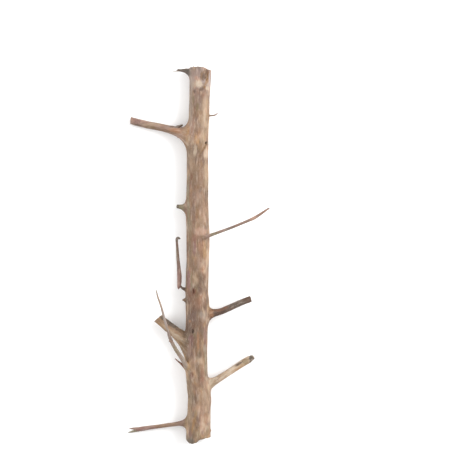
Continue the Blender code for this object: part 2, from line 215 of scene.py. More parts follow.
trunk = {
    # y, x, height of the middle line, radius
    "line": (
        (-308, 0.4, 18.9, 19.4), (-291, 0.4, 18.9, 19.3), (-253, 1.6, 19.9, 18.6), (-229, 2.6, 20.1, 18.6),
        (-195, -1.4, 19.6, 17.5), (-157, -2.7, 19.7, 17.8), (-122, -1.6, 20.3, 17.9),
        (-80, -1.0, 21.1, 18.6),
        (-58, -2.1, 20.9, 17.8), (-13, -0.8, 20.2, 17.3), (26, -0.2, 20.4, 17.7), (83, -1.4, 20.1, 16.8),
        (122, -0.5, 19.3, 16.6), (150, -0.6, 19.0, 16.7), (189, -0.5, 19.1, 17.1), (218, 1.8, 18.3, 16.3),
        (246, 2.5, 17.7, 16.1), (285, 4.2, 17.1, 17.3), (308, 4.2, 16.9, 17.6),
    ),
    # swellings round it: depth, lobes, turns per metre, start
    "flutes": ((0.65, 2, 1.9, 0.6), (0.50, 3, -2.7, 2.1), (0.35, 5, 3.4, 4.0), (0.25, 7, -4.6, 1.2)),
    # knots grown over: y, angle in degrees, height, half length, half width
    "mounds": (
        (35, 62, 1.3, 11, 8), (177, 38, 1.5, 9, 7), (-60, 104, 1.2, 10, 6), (-122, 118, 1.6, 11, 8),
        (-180, 128, 1.4, 12, 9), (273, 88, 1.1, 8, 9), (-250, 60, 0.9, 18, 8), (120, -48, 1.8, 13, 9),
        (-30, -140, 1.7, 12, 8), (-205, -55, 1.6, 10, 8), (60, 205, 1.2, 9, 7), (232, -145, 1.5, 10, 7),
    ),
    "meanRadius": 19.0, "backCalm": 0.85,
    "around": 256, "sideRows": 332, "capRows": 24, "sideEnd": 297,
    # where the rows lie closer together: y, half width, how much closer
    "fine": ((290, 16, 1.6), (177, 14, 0.8), (-59, 8, 0.8), (-123, 12, 1.2), (-296, 10, 1.2)),
    "foot": (
        (-40, -276), (-21, -292.5), (-17.8, -298.6), (-14.2, -301.6), (-7.0, -302.2), (-2.2, -299.8),
        (3.2, -296.4), (11, -294.0), (20, -292.8), (40, -292.2),
    ),
    "top": (
        (-60, 297.2), (-18.6, 297.4), (-14.4, 298.6), (5.4, 299.0), (11, 297.6), (15.8, 294.8),
        (19.8, 293.9), (60, 293.4),
    ),
    # both cuts lean: this far along the trunk for each millimetre of height over leanFrom
    "lean": {"foot": 0.09, "top": -0.07}, "leanFrom": 20,
    "bendFrom": {"foot": -262, "top": 270},  # past here the rows bend to follow the cut
    # teeth left on the rims: angle in degrees, half width, height
    "teeth": {
        "foot": ((70, 1.2, -0.8), (118, 1.8, -0.7), (35, 1.4, -0.9), (-60, 1.6, -1.0), (200, 1.8, -0.8)),
        "top": (
            (128, 0.8, 2.2), (104, 1.6, 0.5), (76, 1.2, -0.6), (20, 1.5, 0.7), (-30, 1.4, 0.8),
            (-110, 1.6, 0.9), (215, 1.5, 0.8),
        ),
    },
}
trunkLine = smoothLine([(x, y, z, r) for y, x, z, r in trunk["line"]], 16)


def core(y):
    return [np.interp(y, trunkLine[:, 1], trunkLine[:, i]) for i in (0, 2, 3)]


def girth(angle, y):
    bulge = 0.0
    for depth, lobes, turns, start in trunk["flutes"]:
        bulge = bulge + depth * np.sin(lobes * angle + 2 * math.pi * turns * y * mm + start)
    for y0, degrees, height, halfLength, halfWidth in trunk["mounds"]:
        off = turnFrom(angle, degrees) * trunk["meanRadius"]
        spread = ((y - y0) / halfLength) ** 2 + (off / halfWidth) ** 2
        bulge = bulge + height * np.exp(-spread)
    return bulge * (1 - trunk["backCalm"] * np.maximum(0, -np.sin(angle)) ** 4)


def overTrunk(points):
    x, z, r = core(points[..., 1])
    dx, dz = points[..., 0] - x, points[..., 2] - z
    return np.hypot(dx, dz) - r - girth(np.arctan2(dz, dx), points[..., 1])


def overShoot(points, centre, way, radius, flare, over):
    # how far points are outside a branch, whose foot widens where it meets what it grows from
    off = points - centre
    reach = np.linalg.norm(off, axis=-1)
    up = unit(toTop - way * way[..., 1:2])
    turn = (off * up).sum(-1) / np.maximum(reach, 1e-9)
    top, foot, across, fade = flare
    lift = np.where(turn > 0, top, foot) * turn**2 + across * (1 - turn**2)
    return reach - radius - lift * np.exp(-np.maximum(over, 0) / fade)


def ownSide(own, other, blend, band=0.8):
    # both surfaces follow one rounded fork as far as the line where they meet, then sink into each other
    near = np.clip(1 - np.abs(own - other) / blend, 0, 1)
    edge = np.minimum(own, other + np.maximum(0, own - other - band))
    return edge - near * near * blend / 4 + 0.03 * np.tanh((own - other) / 0.5)


# branches and stubs

upperLeftBranch = {
    "node": "upper_left_branch", "slot": "branch_wood", "around": 112, "rows": 190, "blend": 5.0,
    "route": (
        (-3, 189, 19.5, 8.8), (-17, 190, 19.2, 8.8), (-28.8, 194.4, 18.4, 7.9), (-38.4, 197.9, 17.0, 7.0),
        (-51, 201.2, 14.4, 6.0), (-64, 204.2, 11.6, 5.7), (-80, 207.2, 8.8, 5.5), (-94.4, 210.6, 6.6, 5.4),
        (-109, 214.4, 5.4, 5.3),
    ),
    "flare": (14.0, 15.0, 5.0, 5.0), "tip": "sawn", "lumps": 0.35, "tilt": (0.25, 0.6), "seed": 11,
    "tint": (
        "mauve", (("grey", 0.5, (4, 4, 16)), ("pink", 0.5, (3, 3, 18)), ("brown", 0.55, (3, 3, 13))), 12,
    ),
    "marks": (
        # painted light and shade: the pale strip along the branch's upper edge and the brown one along its
        # lower edge
        (160, 123, 20, 2.2, -8, "pale", 0.5), (160, 130, 22, 2.2, 10, "brown", 0.6),
        (176, 130.4, 7, 2.4, 14, "orange", 0.6),
        (180, 137, 4, 2, 40, "pink", 0.5), (137, 121, 4, 3, 0, "plum", 0.6),
        (137, 124.6, 5, 1, 10, "dark", 0.7),
        (150, 127, 5, 1.5, 8, "olive", 0.5), (186, 131, 4, 8, 0, "tan", 0.6),
    ),
    "bark": ((174, 126.6, 4, 1, 8, 0.9), (137, 123, 4, 3, 0, 0.5)),
}
leftRisingTwig = {
    "node": "left_rising_twig", "slot": "twig_wood", "around": 56, "rows": 220, "blend": 1.6, "loose": True,
    "route": (
        (-31.4, -56.4, 23.0, 0.5), (-30.6, -52.6, 23.3, 2.4), (-29.8, -47.0, 23.9, 3.1),
        (-29.6, -38.4, 24.8, 3.4),
        (-30.0, -28.8, 25.6, 3.2), (-30.8, -18.5, 26.3, 2.6), (-32.0, -6.4, 27.0, 2.3),
        (-32.7, 6.4, 27.4, 2.0),
        (-33.5, 17.6, 27.2, 1.7), (-33.7, 22.6, 27.0, 1.9), (-32.6, 25.0, 27.0, 2.1),
        (-30.6, 25.4, 27.0, 1.9),
        (-28.6, 24.2, 26.8, 1.3),
    ),
    "flare": (2.0, 2.0, 1.0, 2.0), "tip": "worn", "lumps": 0.2, "tilt": (0.1, 0.0), "seed": 12,
    "tint": ("darkMauve", (("plum", 0.6, (3, 3, 18)), ("darkGrey", 0.5, (2, 2, 12))), 1),
    "marks": (
        (179, 280, 4, 9, 0, "pink", 0.6), (179, 281, 4, 10, 0, "plum", 0.7),
        (180.4, 278, 1, 7, 0, "dark", 0.5),
        (177, 250, 4, 18, 0, "dark", 0.6), (176.4, 258, 1, 9, 0, "green", 0.7),
        (178, 238.4, 5, 3, 0, "darkGrey", 0.9),
    ),
}
thickLeftBranch = {
    "node": "thick_left_branch", "slot": "branch_wood", "around": 128, "rows": 130, "blend": 5.0,
    "route": (
        (-3, -151, 20.5, 8.6), (-14, -144.5, 20.3, 8.6), (-24, -136, 19.8, 8.5), (-36.8, -125.4, 18.6, 8.2),
        (-49.6, -115.2, 16.6, 7.8), (-64.5, -103.2, 13.6, 7.4),
    ),
    "flare": (3.5, 15.0, 4.0, 6.0), "tip": "sawn", "lumps": 0.45, "tilt": (0.2, 2.4), "seed": 13,
    "tint": (
        "tan", (("ochre", 0.6, (4, 4, 12)), ("olive", 0.5, (4, 4, 14)), ("darkGrey", 0.35, (3, 3, 10))),
        8,
    ),
    "marks": (
        (170, 323.5, 13, 2.2, 36, "darkGrey", 0.85), (168, 329, 9, 2.2, 40, "pale", 0.7),
        (177, 337, 8, 2.4, 42, "cream", 0.55),
        (184, 350, 3, 7, 0, "olive", 0.7), (180, 331, 6, 1.6, 38, "brown", 0.6),
        (181, 343, 5, 1.4, 50, "honey", 0.5),
    ),
    "bark": ((170, 323.5, 13, 2.4, 36, 0.8),),
}
longLeftTwig = {
    "node": "long_left_twig", "slot": "twig_wood", "around": 56, "rows": 240, "blend": 2.6,
    "route": (
        (-8, -187, 25.0, 3.2), (-17.4, -179, 32.4, 3.0), (-24.8, -166.4, 36.0, 2.8),
        (-35.4, -150.2, 38.6, 2.6),
        (-43.2, -134.6, 40.8, 2.5), (-47.8, -118.4, 42.6, 2.0), (-52.6, -102.4, 44.2, 1.8),
        (-57.4, -84.0, 45.6, 1.6),
        (-62.4, -69.4, 46.8, 1.4), (-65.2, -58.4, 47.4, 1.0),
    ),
    "flare": (2.5, 5.0, 3.5, 4.0), "tip": "snapped", "lumps": 0.2, "tilt": (0.6, 1.2), "seed": 14,
    "tint": (
        "grey", (("mauve", 0.6, (3, 3, 10)), ("darkMauve", 0.5, (2, 2, 8)), ("brown", 0.4, (3, 3, 9))), 6,
    ),
    "marks": (
        (176, 350, 4, 6, 0, "green", 0.6), (171, 334, 3, 6, 0, "darkMauve", 0.5),
        (165.6, 318, 3, 8, 0, "lilac", 0.5),
        (160, 300, 3, 10, 0, "tan", 0.6),
    ),
}
footLeftBranch = {
    "node": "foot_left_branch", "slot": "branch_wood", "around": 72, "rows": 200, "blend": 4.0,
    "route": (
        (-3, -270, 15.5, 3.4), (-18, -271.6, 14.4, 3.4), (-28.8, -272.2, 12.6, 3.3),
        (-46, -274.6, 9.8, 3.1),
        (-62, -277.0, 8.0, 3.2), (-78, -279.2, 6.8, 3.5), (-90, -281.3, 6.0, 3.7),
        (-98, -282.6, 5.8, 3.2), (-102, -283.2, 5.6, 2.0),
    ),
    "flare": (13.0, 8.0, 4.0, 4.5), "tip": "worn", "lumps": 0.25, "tilt": (0.3, 0.3), "seed": 15,
    "tint": ("mauve", (("brown", 0.6, (3, 3, 14)), ("tan", 0.5, (4, 4, 18))), 8),
    "marks": (
        (146, 430, 16, 3, -4, "plum", 0.6), (168, 424.6, 12, 3, -4, "tan", 0.6),
        (184, 426.4, 3, 2, 20, "dark", 0.6),
    ),
}
slenderRightTwig = {
    "node": "slender_right_twig", "slot": "twig_wood", "around": 48, "rows": 240, "blend": 2.0,
    "route": (
        (2, 24, 27.0, 2.8), (12.2, 27.4, 35.4, 2.7), (24, 31.2, 39.6, 2.5), (37.4, 36.2, 43.0, 2.4),
        (54.6, 42.6, 46.8, 2.2), (76, 51.4, 51.2, 2.2), (89, 57.2, 53.6, 2.5), (98, 62.6, 55.0, 2.1),
        (112.4, 72.4, 57.0, 1.3),
    ),
    "flare": (2.5, 2.5, 2.5, 3.0), "tip": "snapped", "lumps": 0.2, "tilt": (0.5, 0.4), "seed": 16,
    "tint": ("mauve", (("red", 0.4, (3, 3, 14)), ("grey", 0.5, (3, 3, 12))), 6),
    "marks": (
        (216, 234, 6, 3, 0, "green", 0.75), (230, 229, 7, 3, 0, "darkGrey", 0.5),
        (242, 223, 7, 3, 0, "mauve", 0.6),
        (253, 218, 4, 3, 0, "pink", 0.85), (263, 212, 6, 5, 0, "red", 0.6),
    ),
}
middleRightBranch = {
    "node": "middle_right_branch", "slot": "branch_wood", "around": 96, "rows": 150, "blend": 4.0,
    "route": (
        (-2, -97, 20.8, 5.8), (14, -95.4, 20.6, 5.8), (24, -94.0, 20.0, 5.7), (32, -92.8, 19.2, 5.4),
        (39.5, -90.6, 18.0, 5.2), (55.2, -84.2, 15.2, 5.0), (67.8, -78.7, 13.2, 4.8),
        (84.5, -72.4, 11.6, 4.6),
    ),
    "flare": (5.0, 11.0, 3.5, 4.5), "tip": "sawn", "lumps": 0.4, "tilt": (0.15, 1.0), "seed": 17,
    "tint": ("dark", (("darkMauve", 0.5, (3, 3, 12)), ("darkGrey", 0.5, (4, 4, 12))), 5),
    "marks": (
        (220, 311.5, 8, 3, -16, "darkest", 0.35), (222, 309, 7, 1.6, -18, "red", 0.6),
        (236, 304, 8, 3, -18, "darkGrey", 0.7),
        (236, 301.5, 5, 1, -20, "grey", 0.6), (211.4, 312.6, 2.6, 4.4, 0, "orange", 0.6),
        (213.6, 308.6, 2.2, 1.2, -20, "brown", 0.7), (212.4, 310, 0.9, 0.9, 0, "rust", 0.8),
        (211, 317, 0.9, 0.9, 0, "rust", 0.8),
    ),
    "bark": ((222, 310, 7, 2, -18, 0.4), (236, 305, 8, 2, -18, 0.4)),
}
lowerRightBranch = {
    "node": "lower_right_branch", "slot": "pale_branch_wood", "around": 96, "rows": 170, "blend": 3.5,
    "route": (
        (-4, -219, 20.0, 6.2), (12, -211.6, 19.4, 6.0), (20, -207.2, 18.6, 5.8), (30, -201.6, 16.8, 5.3),
        (44, -193.0, 13.8, 4.9), (58, -184.2, 10.5, 4.8), (72, -175.4, 7.1, 5.0), (87.4, -166.6, 4.3, 5.1),
    ),
    "flare": (6.0, 6.0, 3.0, 4.5), "tip": "worn", "lumps": 0.3, "tilt": (0.2, 2.0), "seed": 18,
    "tint": (
        "cream", (("ochre", 0.45, (4, 4, 14)), ("pale", 0.6, (4, 4, 12)), ("tan", 0.45, (3, 3, 8))), 4,
    ),
    "marks": (
        (214, 384, 5, 4, -30, "olive", 0.5), (226, 375, 9, 2.6, -32, "cream", 0.5),
        (222, 380, 6, 1.2, -32, "tan", 0.5), (240, 367, 8, 2, -32, "ochre", 0.5),
        (239.6, 363.6, 4.5, 1.0, -30, "dark", 0.85), (246, 362, 4, 4, -30, "olive", 0.7),
        (252.4, 359.6, 3.6, 4.6, -30, "darkGrey", 0.95),
        (251, 363, 2, 1.6, -30, "dark", 0.8),
    ),
    "bark": ((239.6, 363.6, 5, 1.3, -30, 1.0), (250, 358.6, 4, 1.2, -30, 0.8)),
}
branches = {
    "upperLeftBranch": upperLeftBranch, "leftRisingTwig": leftRisingTwig,
    "thickLeftBranch": thickLeftBranch,
    "longLeftTwig": longLeftTwig, "footLeftBranch": footLeftBranch, "slenderRightTwig": slenderRightTwig,
    "middleRightBranch": middleRightBranch, "lowerRightBranch": lowerRightBranch,
}
stubs = {
    "crownSplinter": {
        "around": 64, "rows": 90, "blend": 3.0, "tip": "snapped", "lumps": 0.3, "tilt": (0.6, 0.0),
        "seed": 21,
        "route": (
            (-4, 290, 17.5, 5.0), (-16, 293.0, 18.2, 3.6), (-22, 293.8, 18.8, 2.6),
            (-28, 293.8, 19.4, 1.8), (-33, 293.6, 20.0, 0.8),
        ),
        "flare": (0.6, 7.0, 2.0, 4.0),
        "tint": ("darkGrey", (("dark", 0.5, (2, 2, 8)), ("mauve", 0.4, (2, 2, 9))), 3),
    },
    "leftPeg": {
        "around": 64, "rows": 70, "blend": 3.5, "tip": "sawn", "lumps": 0.35, "tilt": (0.3, 1.0),
        "seed": 22,
        "route": ((-4, 75, 20.5, 4.4), (-20, 74, 21.6, 3.8), (-27, 75, 22.4, 3.1), (-33.6, 76, 23.0, 2.8)),
        "flare": (8.0, 9.0, 3.5, 3.6),
        "tint": ("green", (("brown", 0.5, (3, 3, 9)), ("grey", 0.4, (3, 3, 9))), 7),
        "marks": ((177.6, 206.4, 1.6, 3, 0, "darkGrey", 0.9),),
    },
    "rightThorn": {
        "around": 40, "rows": 70, "blend": 1.6, "tip": "snapped", "lumps": 0.15, "tilt": (0.4, 0.0),
        "seed": 23,
        "route": (
            (4, 220.4, 20.0, 1.5), (16, 221.2, 21.4, 1.3), (25, 221.6, 22.4, 1.2),
            (28.6, 222.8, 23.0, 1.0), (31, 224.6, 23.6, 0.7),
        ),
        "flare": (0.5, 0.5, 0.5, 2.0),
        "tint": ("mauve", (("darkGrey", 0.5, (2, 2, 8)), ("tan", 0.4, (3, 3, 9))), 4),
    },
    "leftSpur": {
        "around": 40, "rows": 70, "blend": 2.0, "tip": "snapped", "lumps": 0.2, "tilt": (0.4, 0.0),
        "seed": 24,
        "route": (
            (-8, -187, 22.0, 2.6), (-19, -181.8, 24.0, 2.0), (-27, -175.0, 25.0, 1.4),
            (-35.6, -167.6, 26.0, 0.8),
        ),
        "flare": (2.4, 3.0, 2.0, 3.0),
        "tint": ("red", (("brown", 0.5, (2, 2, 8)), ("mauve", 0.4, (3, 3, 9))), 4),
    },
    "leftPimple": {
        "around": 40, "rows": 40, "blend": 2.0, "tip": "worn", "lumps": 0.2, "tilt": (0.1, 0.0), "seed": 25,
        "route": ((-12, -74, 21.0, 3.2), (-21, -73.6, 21.4, 2.4), (-24.2, -73.4, 21.6, 1.4)),
        "flare": (2.0, 2.0, 1.5, 2.0),
        "tint": ("brown", (("dark", 0.5, (2, 2, 8)),), 4),
    },
    "twigNeck": {
        "around": 40, "rows": 60, "blend": 1.8, "tip": "worn", "lumps": 0.3, "tilt": (0.1, 0.0), "seed": 27,
        "route": (
            (-10, -57, 20.5, 2.6), (-20, -56.4, 21.4, 2.3), (-25, -54.4, 22.4, 1.7),
            (-29.6, -49.6, 23.8, 1.6),
        ),
        "flare": (2.0, 2.0, 1.0, 2.0),
        "tint": ("dark", (("darkGrey", 0.5, (2, 2, 8)),), 3),
    },
    "footChip": {
        "around": 64, "rows": 50, "blend": 3.0, "tip": "worn", "lumps": 0.3, "tilt": (0.2, 0.0), "seed": 26,
        "route": ((4, -284, 19.5, 7.0), (12, -284.4, 20.3, 6.6), (18.6, -284.8, 21.0, 4.4)),
        "flare": (2.0, 1.0, 2.0, 2.0),
        "tint": ("brown", (("dark", 0.5, (2, 2, 8)),), 6),
    },
}
# small things on the branches: knobs, prongs and whiskers
spurs = {
    "upperLeftKnob": {
        "host": "upperLeftBranch", "around": 40, "rows": 60, "blend": 1.2, "tip": "worn", "lumps": 0.3,
        "tilt": (0.3, 0.0),
        "seed": 31,
        "route": (
            (-40, 199, 19.0, 1.6), (-34.5, 202.8, 21.6, 1.7), (-29.5, 204.4, 22.6, 1.7),
            (-24.8, 205.8, 23.0, 1.6),
        ),
        "flare": (0.6, 0.6, 0.6, 1.0), "tint": ("dark", (("darkGrey", 0.6, (2, 2, 6)),), 0.5),
    },
    "longLeftKnob": {
        "host": "longLeftTwig", "around": 32, "rows": 40, "blend": 1.0, "tip": "worn", "lumps": 0.25,
        "tilt": (0.3, 0.0),
        "seed": 32,
        "route": ((-40.6, -138.4, 40.2, 1.5), (-43.2, -137.6, 41.0, 1.3), (-45.2, -138.6, 41.2, 0.9)),
        "flare": (0.6, 0.6, 0.6, 1.0), "tint": ("mauve", (("brown", 0.6, (2, 2, 6)),), 0.5),
    },
    "footUpperProng": {
        "host": "footLeftBranch", "around": 40, "rows": 70, "blend": 0.8, "tip": "snapped", "lumps": 0.25,
        "tilt": (0.6, 0.0),
        "seed": 33,
        "route": (
            (-94, -281.4, 6.0, 2.3), (-101, -281.2, 6.0, 1.9), (-106, -280.9, 6.0, 1.3),
            (-110.4, -280.9, 6.0, 0.6),
        ),
        "flare": (0.3, 0.3, 0.3, 1.0), "tint": ("mauve", (("plum", 0.6, (2, 2, 8)),), 0.5),
    },
    "footLowerProng": {
        "host": "footLeftBranch", "around": 40, "rows": 70, "blend": 0.8, "tip": "snapped", "lumps": 0.25,
        "tilt": (0.6, 0.0),
        "seed": 34,
        "route": (
            (-94, -283.0, 5.6, 2.3), (-101, -285.0, 5.2, 1.9), (-107, -286.4, 4.8, 1.4),
            (-112.4, -287.6, 4.4, 0.6),
        ),
        "flare": (0.3, 0.3, 0.3, 1.0), "tint": ("green", (("grey", 0.6, (2, 2, 8)),), 0.5),
    },
    "crownUpperWhisker": {
        "host": "crownSplinter", "around": 12, "rows": 40, "blend": 0.5, "tip": "snapped", "lumps": 0.1,
        "tilt": (0.4, 0.0),
        "seed": 35,
        "route": (
            (-22, 293.0, 19.0, 1.1), (-29, 295.0, 19.8, 0.8), (-33.5, 296.0, 20.2, 0.45),
            (-37.4, 296.2, 20.6, 0.2),
        ),
        "flare": (0.2, 0.2, 0.2, 1.0), "tint": ("darkGrey", (("mauve", 0.6, (2, 2, 6)),), 0.5),
    },
    "crownLowerWhisker": {
        "host": "crownSplinter", "around": 12, "rows": 40, "blend": 0.5, "tip": "snapped", "lumps": 0.1,
        "tilt": (0.4, 0.0),
        "seed": 36,
        "route": (
            (-24, 293.4, 19.0, 1.1), (-32, 292.8, 19.4, 0.8), (-38, 292.2, 20.0, 0.5),
            (-43.4, 291.6, 20.8, 0.2),
        ),
        "flare": (0.2, 0.2, 0.2, 1.0), "tint": ("grey", (("mauve", 0.6, (2, 2, 6)),), 0.5),
    },
}
growths = {**branches, **stubs, **spurs}


def overHost(growth, points):
    # how far points are outside what a growth stands on: the trunk, or the branch that it names
    if "host" not in growth:
        return overTrunk(points)
    path = growths[growth["host"]]["path"]
    flat = points.reshape(-1, 3)
    at = path.at(path.nearest(flat))
    return (np.linalg.norm(flat - at[:, :3], axis=-1) - at[:, 3]).reshape(points.shape[:-1])


for growth in growths.values():
    growth["path"] = Route(growth["route"])
for growth in growths.values():
    spots = np.linspace(0, growth["path"].length, 400)
    growth["exit"] = spots[np.argmax(overHost(growth, growth["path"].at(spots)[:, :3]) > 0)]

# colours

woodDepth = 0.49  # how much darker the wood is than it looks in bright light
palette = {
    "tan": (178, 146, 117), "brown": (148, 116, 88), "dark": (112, 86, 70), "darkest": (70, 54, 46),
    "cream": (230, 210, 186), "mauve": (174, 144, 130), "darkMauve": (136, 108, 96),
    "grey": (182, 168, 154),
    "darkGrey": (112, 102, 92), "ochre": (190, 150, 100), "olive": (144, 124, 88), "red": (160, 112, 88),
    "orange": (198, 146, 106), "pink": (210, 172, 150), "lilac": (192, 180, 178), "green": (150, 140, 110),
    "pale": (208, 180, 150), "rust": (130, 82, 58), "honey": (150, 110, 64), "plum": (156, 114, 108),
    "umber": (138, 108, 84),
}
# the trunk's colour at a few heights of the picture
zones = (
    (60, "mauve"), (90, "mauve"), (100, "tan"), (150, "tan"), (165, "brown"), (215, "brown"), (235, "tan"),
    (290, "brown"), (304, "umber"), (345, "umber"), (368, "tan"), (400, "tan"), (430, "tan"),
    (445, "olive"),
)
# blotches all over the trunk: colour, size, seed, noise where they start and where they are full, strength
blotches = (
    ("pale", (7, 7, 22), 32, 0.0, 0.5, 0.55), ("red", (8, 8, 26), 33, 0.05, 0.5, 0.6),
    ("olive", (8, 8, 30), 34, 0.05, 0.5, 0.45), ("darkMauve", (6, 6, 18), 35, 0.05, 0.5, 0.55),
    ("dark", (4, 4, 14), 36, 0.2, 0.65, 0.55), ("cream", (4, 4, 13), 37, 0.25, 0.7, 0.4),
    ("ochre", (5, 5, 14), 80, 0.15, 0.6, 0.5), ("rust", (2, 2, 6), 81, 0.3, 0.7, 0.45),
    ("umber", (9, 9, 15), 83, 0.0, 0.45, 0.6),
    ("cream", (8, 8, 13), 84, 0.05, 0.55, 0.3), ("pink", (7, 7, 12), 85, 0.1, 0.55, 0.25),
    ("pale", (2, 2, 6), 82, 0.3, 0.7, 0.45),
)
# marks placed one by one: pixel, half width, half length, turn in degrees, colour, strength
trunkMarks = (
    (197, 78, 11, 10, 0, "lilac", 0.5), (197.4, 127, 3.6, 8, 0, "darkMauve", 0.5),
    (194, 160, 6, 9, 0, "pale", 0.45),
    (195, 174, 6, 8, 0, "tan", 0.5), (196, 328, 11, 15, 0, "dark", 0.56), (195, 384, 8, 7, 0, "umber", 0.5),
    (191, 408, 3.2, 15, 0, "pale", 0.4), (204, 404, 3.4, 12, 0, "tan", 0.4),
    (203, 98, 3, 8, 0, "darkMauve", 0.4), (203, 256, 3.4, 7, 0, "brown", 0.4),
    (196, 222, 5, 9, 0, "brown", 0.35), (194, 248, 6, 9, 0, "umber", 0.3),
    (195.6, 74, 5, 5, 0, "mauve", 0.7), (196.5, 78.6, 3.4, 2.4, 0, "pink", 0.7),
    (194, 84, 3, 3.5, 0, "pale", 0.5),
    (206.3, 76, 1.9, 6, -6, "tan", 0.9), (202.7, 75.4, 2.5, 4.9, 4, "brown", 0.95),
    (203.4, 76.6, 1.5, 3.4, 4, "dark", 0.9),
    (208.2, 75.5, 1.0, 4.8, 8, "honey", 0.95), (206.6, 81.5, 1.2, 4.6, 20, "honey", 0.95),
    (204.3, 87, 2.0, 1.1, 25, "honey", 0.9),
    (198.6, 83.6, 4.2, 3, 14, "cream", 0.95), (199.4, 84.6, 3, 1.8, 14, "cream", 0.7),
    (207.0, 88.4, 1.6, 1.8, 0, "cream", 0.7), (201.6, 89.2, 2.8, 1.7, -20, "dark", 0.85),
    (194.6, 91.6, 1.6, 1.6, 0, "dark", 0.85), (197, 101, 4.5, 11, 0, "darkMauve", 0.5),
    # painted reflection: the lilac strip along the right rim stands in for pale light reflected there
    (209.8, 79, 1.2, 9, 0, "lilac", 0.7), (193.2, 100, 0.9, 4.4, 0, "olive", 0.8),
    (199.4, 98, 1.1, 6, 0, "darkMauve", 0.7), (197.4, 107, 1.4, 4, 0, "olive", 0.7),
    (205, 104, 2.6, 12, 0, "pale", 0.4),
    # painted reflection: the long grey strip on the left rim stands in for pale light reflected there
    (190.6, 100, 1.6, 32, 0, "grey", 0.5), (202.5, 127, 2.4, 12, 0, "pale", 0.35),
    (192.5, 130, 2, 12, 0, "mauve", 0.5),
    (206.6, 143.2, 1.4, 1.2, 30, "darkest", 0.95), (203.2, 149.8, 1.0, 7.5, 30, "honey", 0.85),
    (201.4, 154, 1.0, 4, 28, "dark", 0.6),
    (195.4, 150, 2.2, 5, 0, "cream", 0.6), (206, 154, 2.2, 5, 0, "cream", 0.6),
    (199, 160, 5, 3, 0, "darkMauve", 0.4),
    (199, 182, 8, 20, 0, "brown", 0.45), (191.5, 177, 0.9, 3.4, 0, "rust", 0.8),
    (200.6, 190, 1.2, 3.6, 20, "dark", 0.85), (197, 197, 4, 7, 0, "mauve", 0.5),
    # painted reflection: the long green-grey strip on the left rim at x 188.2
    (206, 172, 1.8, 16, 0, "pale", 0.55), (188.2, 200, 1.2, 30, 0, "green", 0.6),
    (194, 212, 1.4, 18, 0, "darkMauve", 0.6), (202, 212, 3, 20, 0, "tan", 0.4),
    (200.5, 231.5, 5.5, 4, 0, "pink", 0.75), (196, 238, 7, 2.6, 0, "red", 0.5),
    (206.5, 236.9, 1.8, 1.1, 0, "honey", 0.9), (190, 240, 1.4, 22, 0, "olive", 0.5),
    (194.6, 248, 1.6, 9, 0, "plum", 0.7), (199, 262, 2, 8, 0, "mauve", 0.5),
    (204.6, 252, 1.8, 6, 0, "ochre", 0.6),
    (202, 245.5, 1, 1.2, 0, "rust", 0.5), (188.4, 279, 1.9, 9, 0, "plum", 0.8),
    (191.4, 280, 0.8, 9, 0, "green", 0.7),
    (193.4, 291, 1.3, 3.4, 0, "rust", 0.9), (193.8, 292.5, 1.8, 4.4, 8, "rust", 0.85),
    (199, 289.5, 0.9, 3, 0, "dark", 0.8),
    (195.6, 300, 3.6, 5, 0, "brown", 0.6), (190, 300, 1.4, 6, 0, "rust", 0.4),
    (197, 304, 7, 6, 0, "red", 0.4),
    (193, 317, 3, 5, 0, "darkMauve", 0.75), (202.8, 315.5, 3.2, 5, 0, "grey", 0.6),
    (203.4, 311, 1.4, 4, -20, "pale", 0.6),
    (190, 321, 1.2, 1.2, 0, "orange", 0.8), (191.4, 330.6, 2.4, 3, 0, "dark", 0.75),
    (194.6, 334.6, 1.3, 1.8, 0, "olive", 0.8),
    (190, 338, 1.5, 3, 0, "plum", 0.8), (191.6, 341, 2.6, 6, 0, "plum", 0.75),
    (198, 342, 5, 8, 0, "brown", 0.55), (198, 343, 1.2, 10, 0, "orange", 0.6),
    (205, 336.5, 1.4, 9, 0, "plum", 0.6), (204.8, 348.5, 1.4, 4, 0, "grey", 0.7),
    (189.5, 351, 2.8, 7, 0, "mauve", 0.7),
    # painted reflection: the green strip on the right rim at x 205.4
    (205.4, 362, 1.4, 11, 0, "green", 0.6), (187, 366, 3.4, 4.6, 0, "ochre", 0.9),
    (191.7, 375.6, 2, 3.2, 0, "rust", 0.85),
    (202, 375, 2.4, 10, 0, "red", 0.5), (201.6, 380, 2.2, 2.4, 0, "red", 0.7),
    (190.2, 433.5, 2, 3, 0, "plum", 0.6), (191, 430, 0.8, 0.8, 0, "dark", 0.9),
    (196.5, 428, 0.7, 0.7, 0, "dark", 0.9), (198.5, 430.5, 0.7, 0.7, 0, "dark", 0.9),
    (208.5, 413, 0.8, 0.9, 0, "dark", 0.9),
    (207.5, 424, 0.7, 0.8, 0, "dark", 0.8), (194, 423, 1.6, 10, 12, "ochre", 0.6),
    (202, 420, 2.4, 13, 0, "pink", 0.4),
    (189, 402, 2.8, 26, 0, "olive", 0.35), (190, 441, 3.6, 2.4, 0, "darkGrey", 0.8),
)


def linear(name):
    value = np.array(palette[name]) / 255
    return woodDepth * np.where(value <= 0.04045, value / 12.92, ((value + 0.055) / 1.055) ** 2.4)


def tinted(tint, colour, mask):
    return tint + (linear(colour) - tint) * mask[..., None]


def addMarks(tint, points, grain, marks, front):
    px, py = seenAt(points)
    ragged = 0.55 * layered(grain, (1.6, 1.6, 5), 38) + 0.25 * noise(grain, (0.7, 0.7, 2.5), 39)
    patchy = 1 - 0.3 * ramp(0.0, 0.7, layered(grain, (0.9, 0.9, 7), 46))
    for mx, my, halfWidth, halfLength, turn, colour, share in marks:
        soft = 0.6 - 0.4 * share
        gap = spotGap(px - mx, py - my, halfWidth, halfLength, turn) + ragged
        tint = tinted(tint, colour, share * front * patchy * ramp(1 + soft, 1 - soft, gap))
    return tint


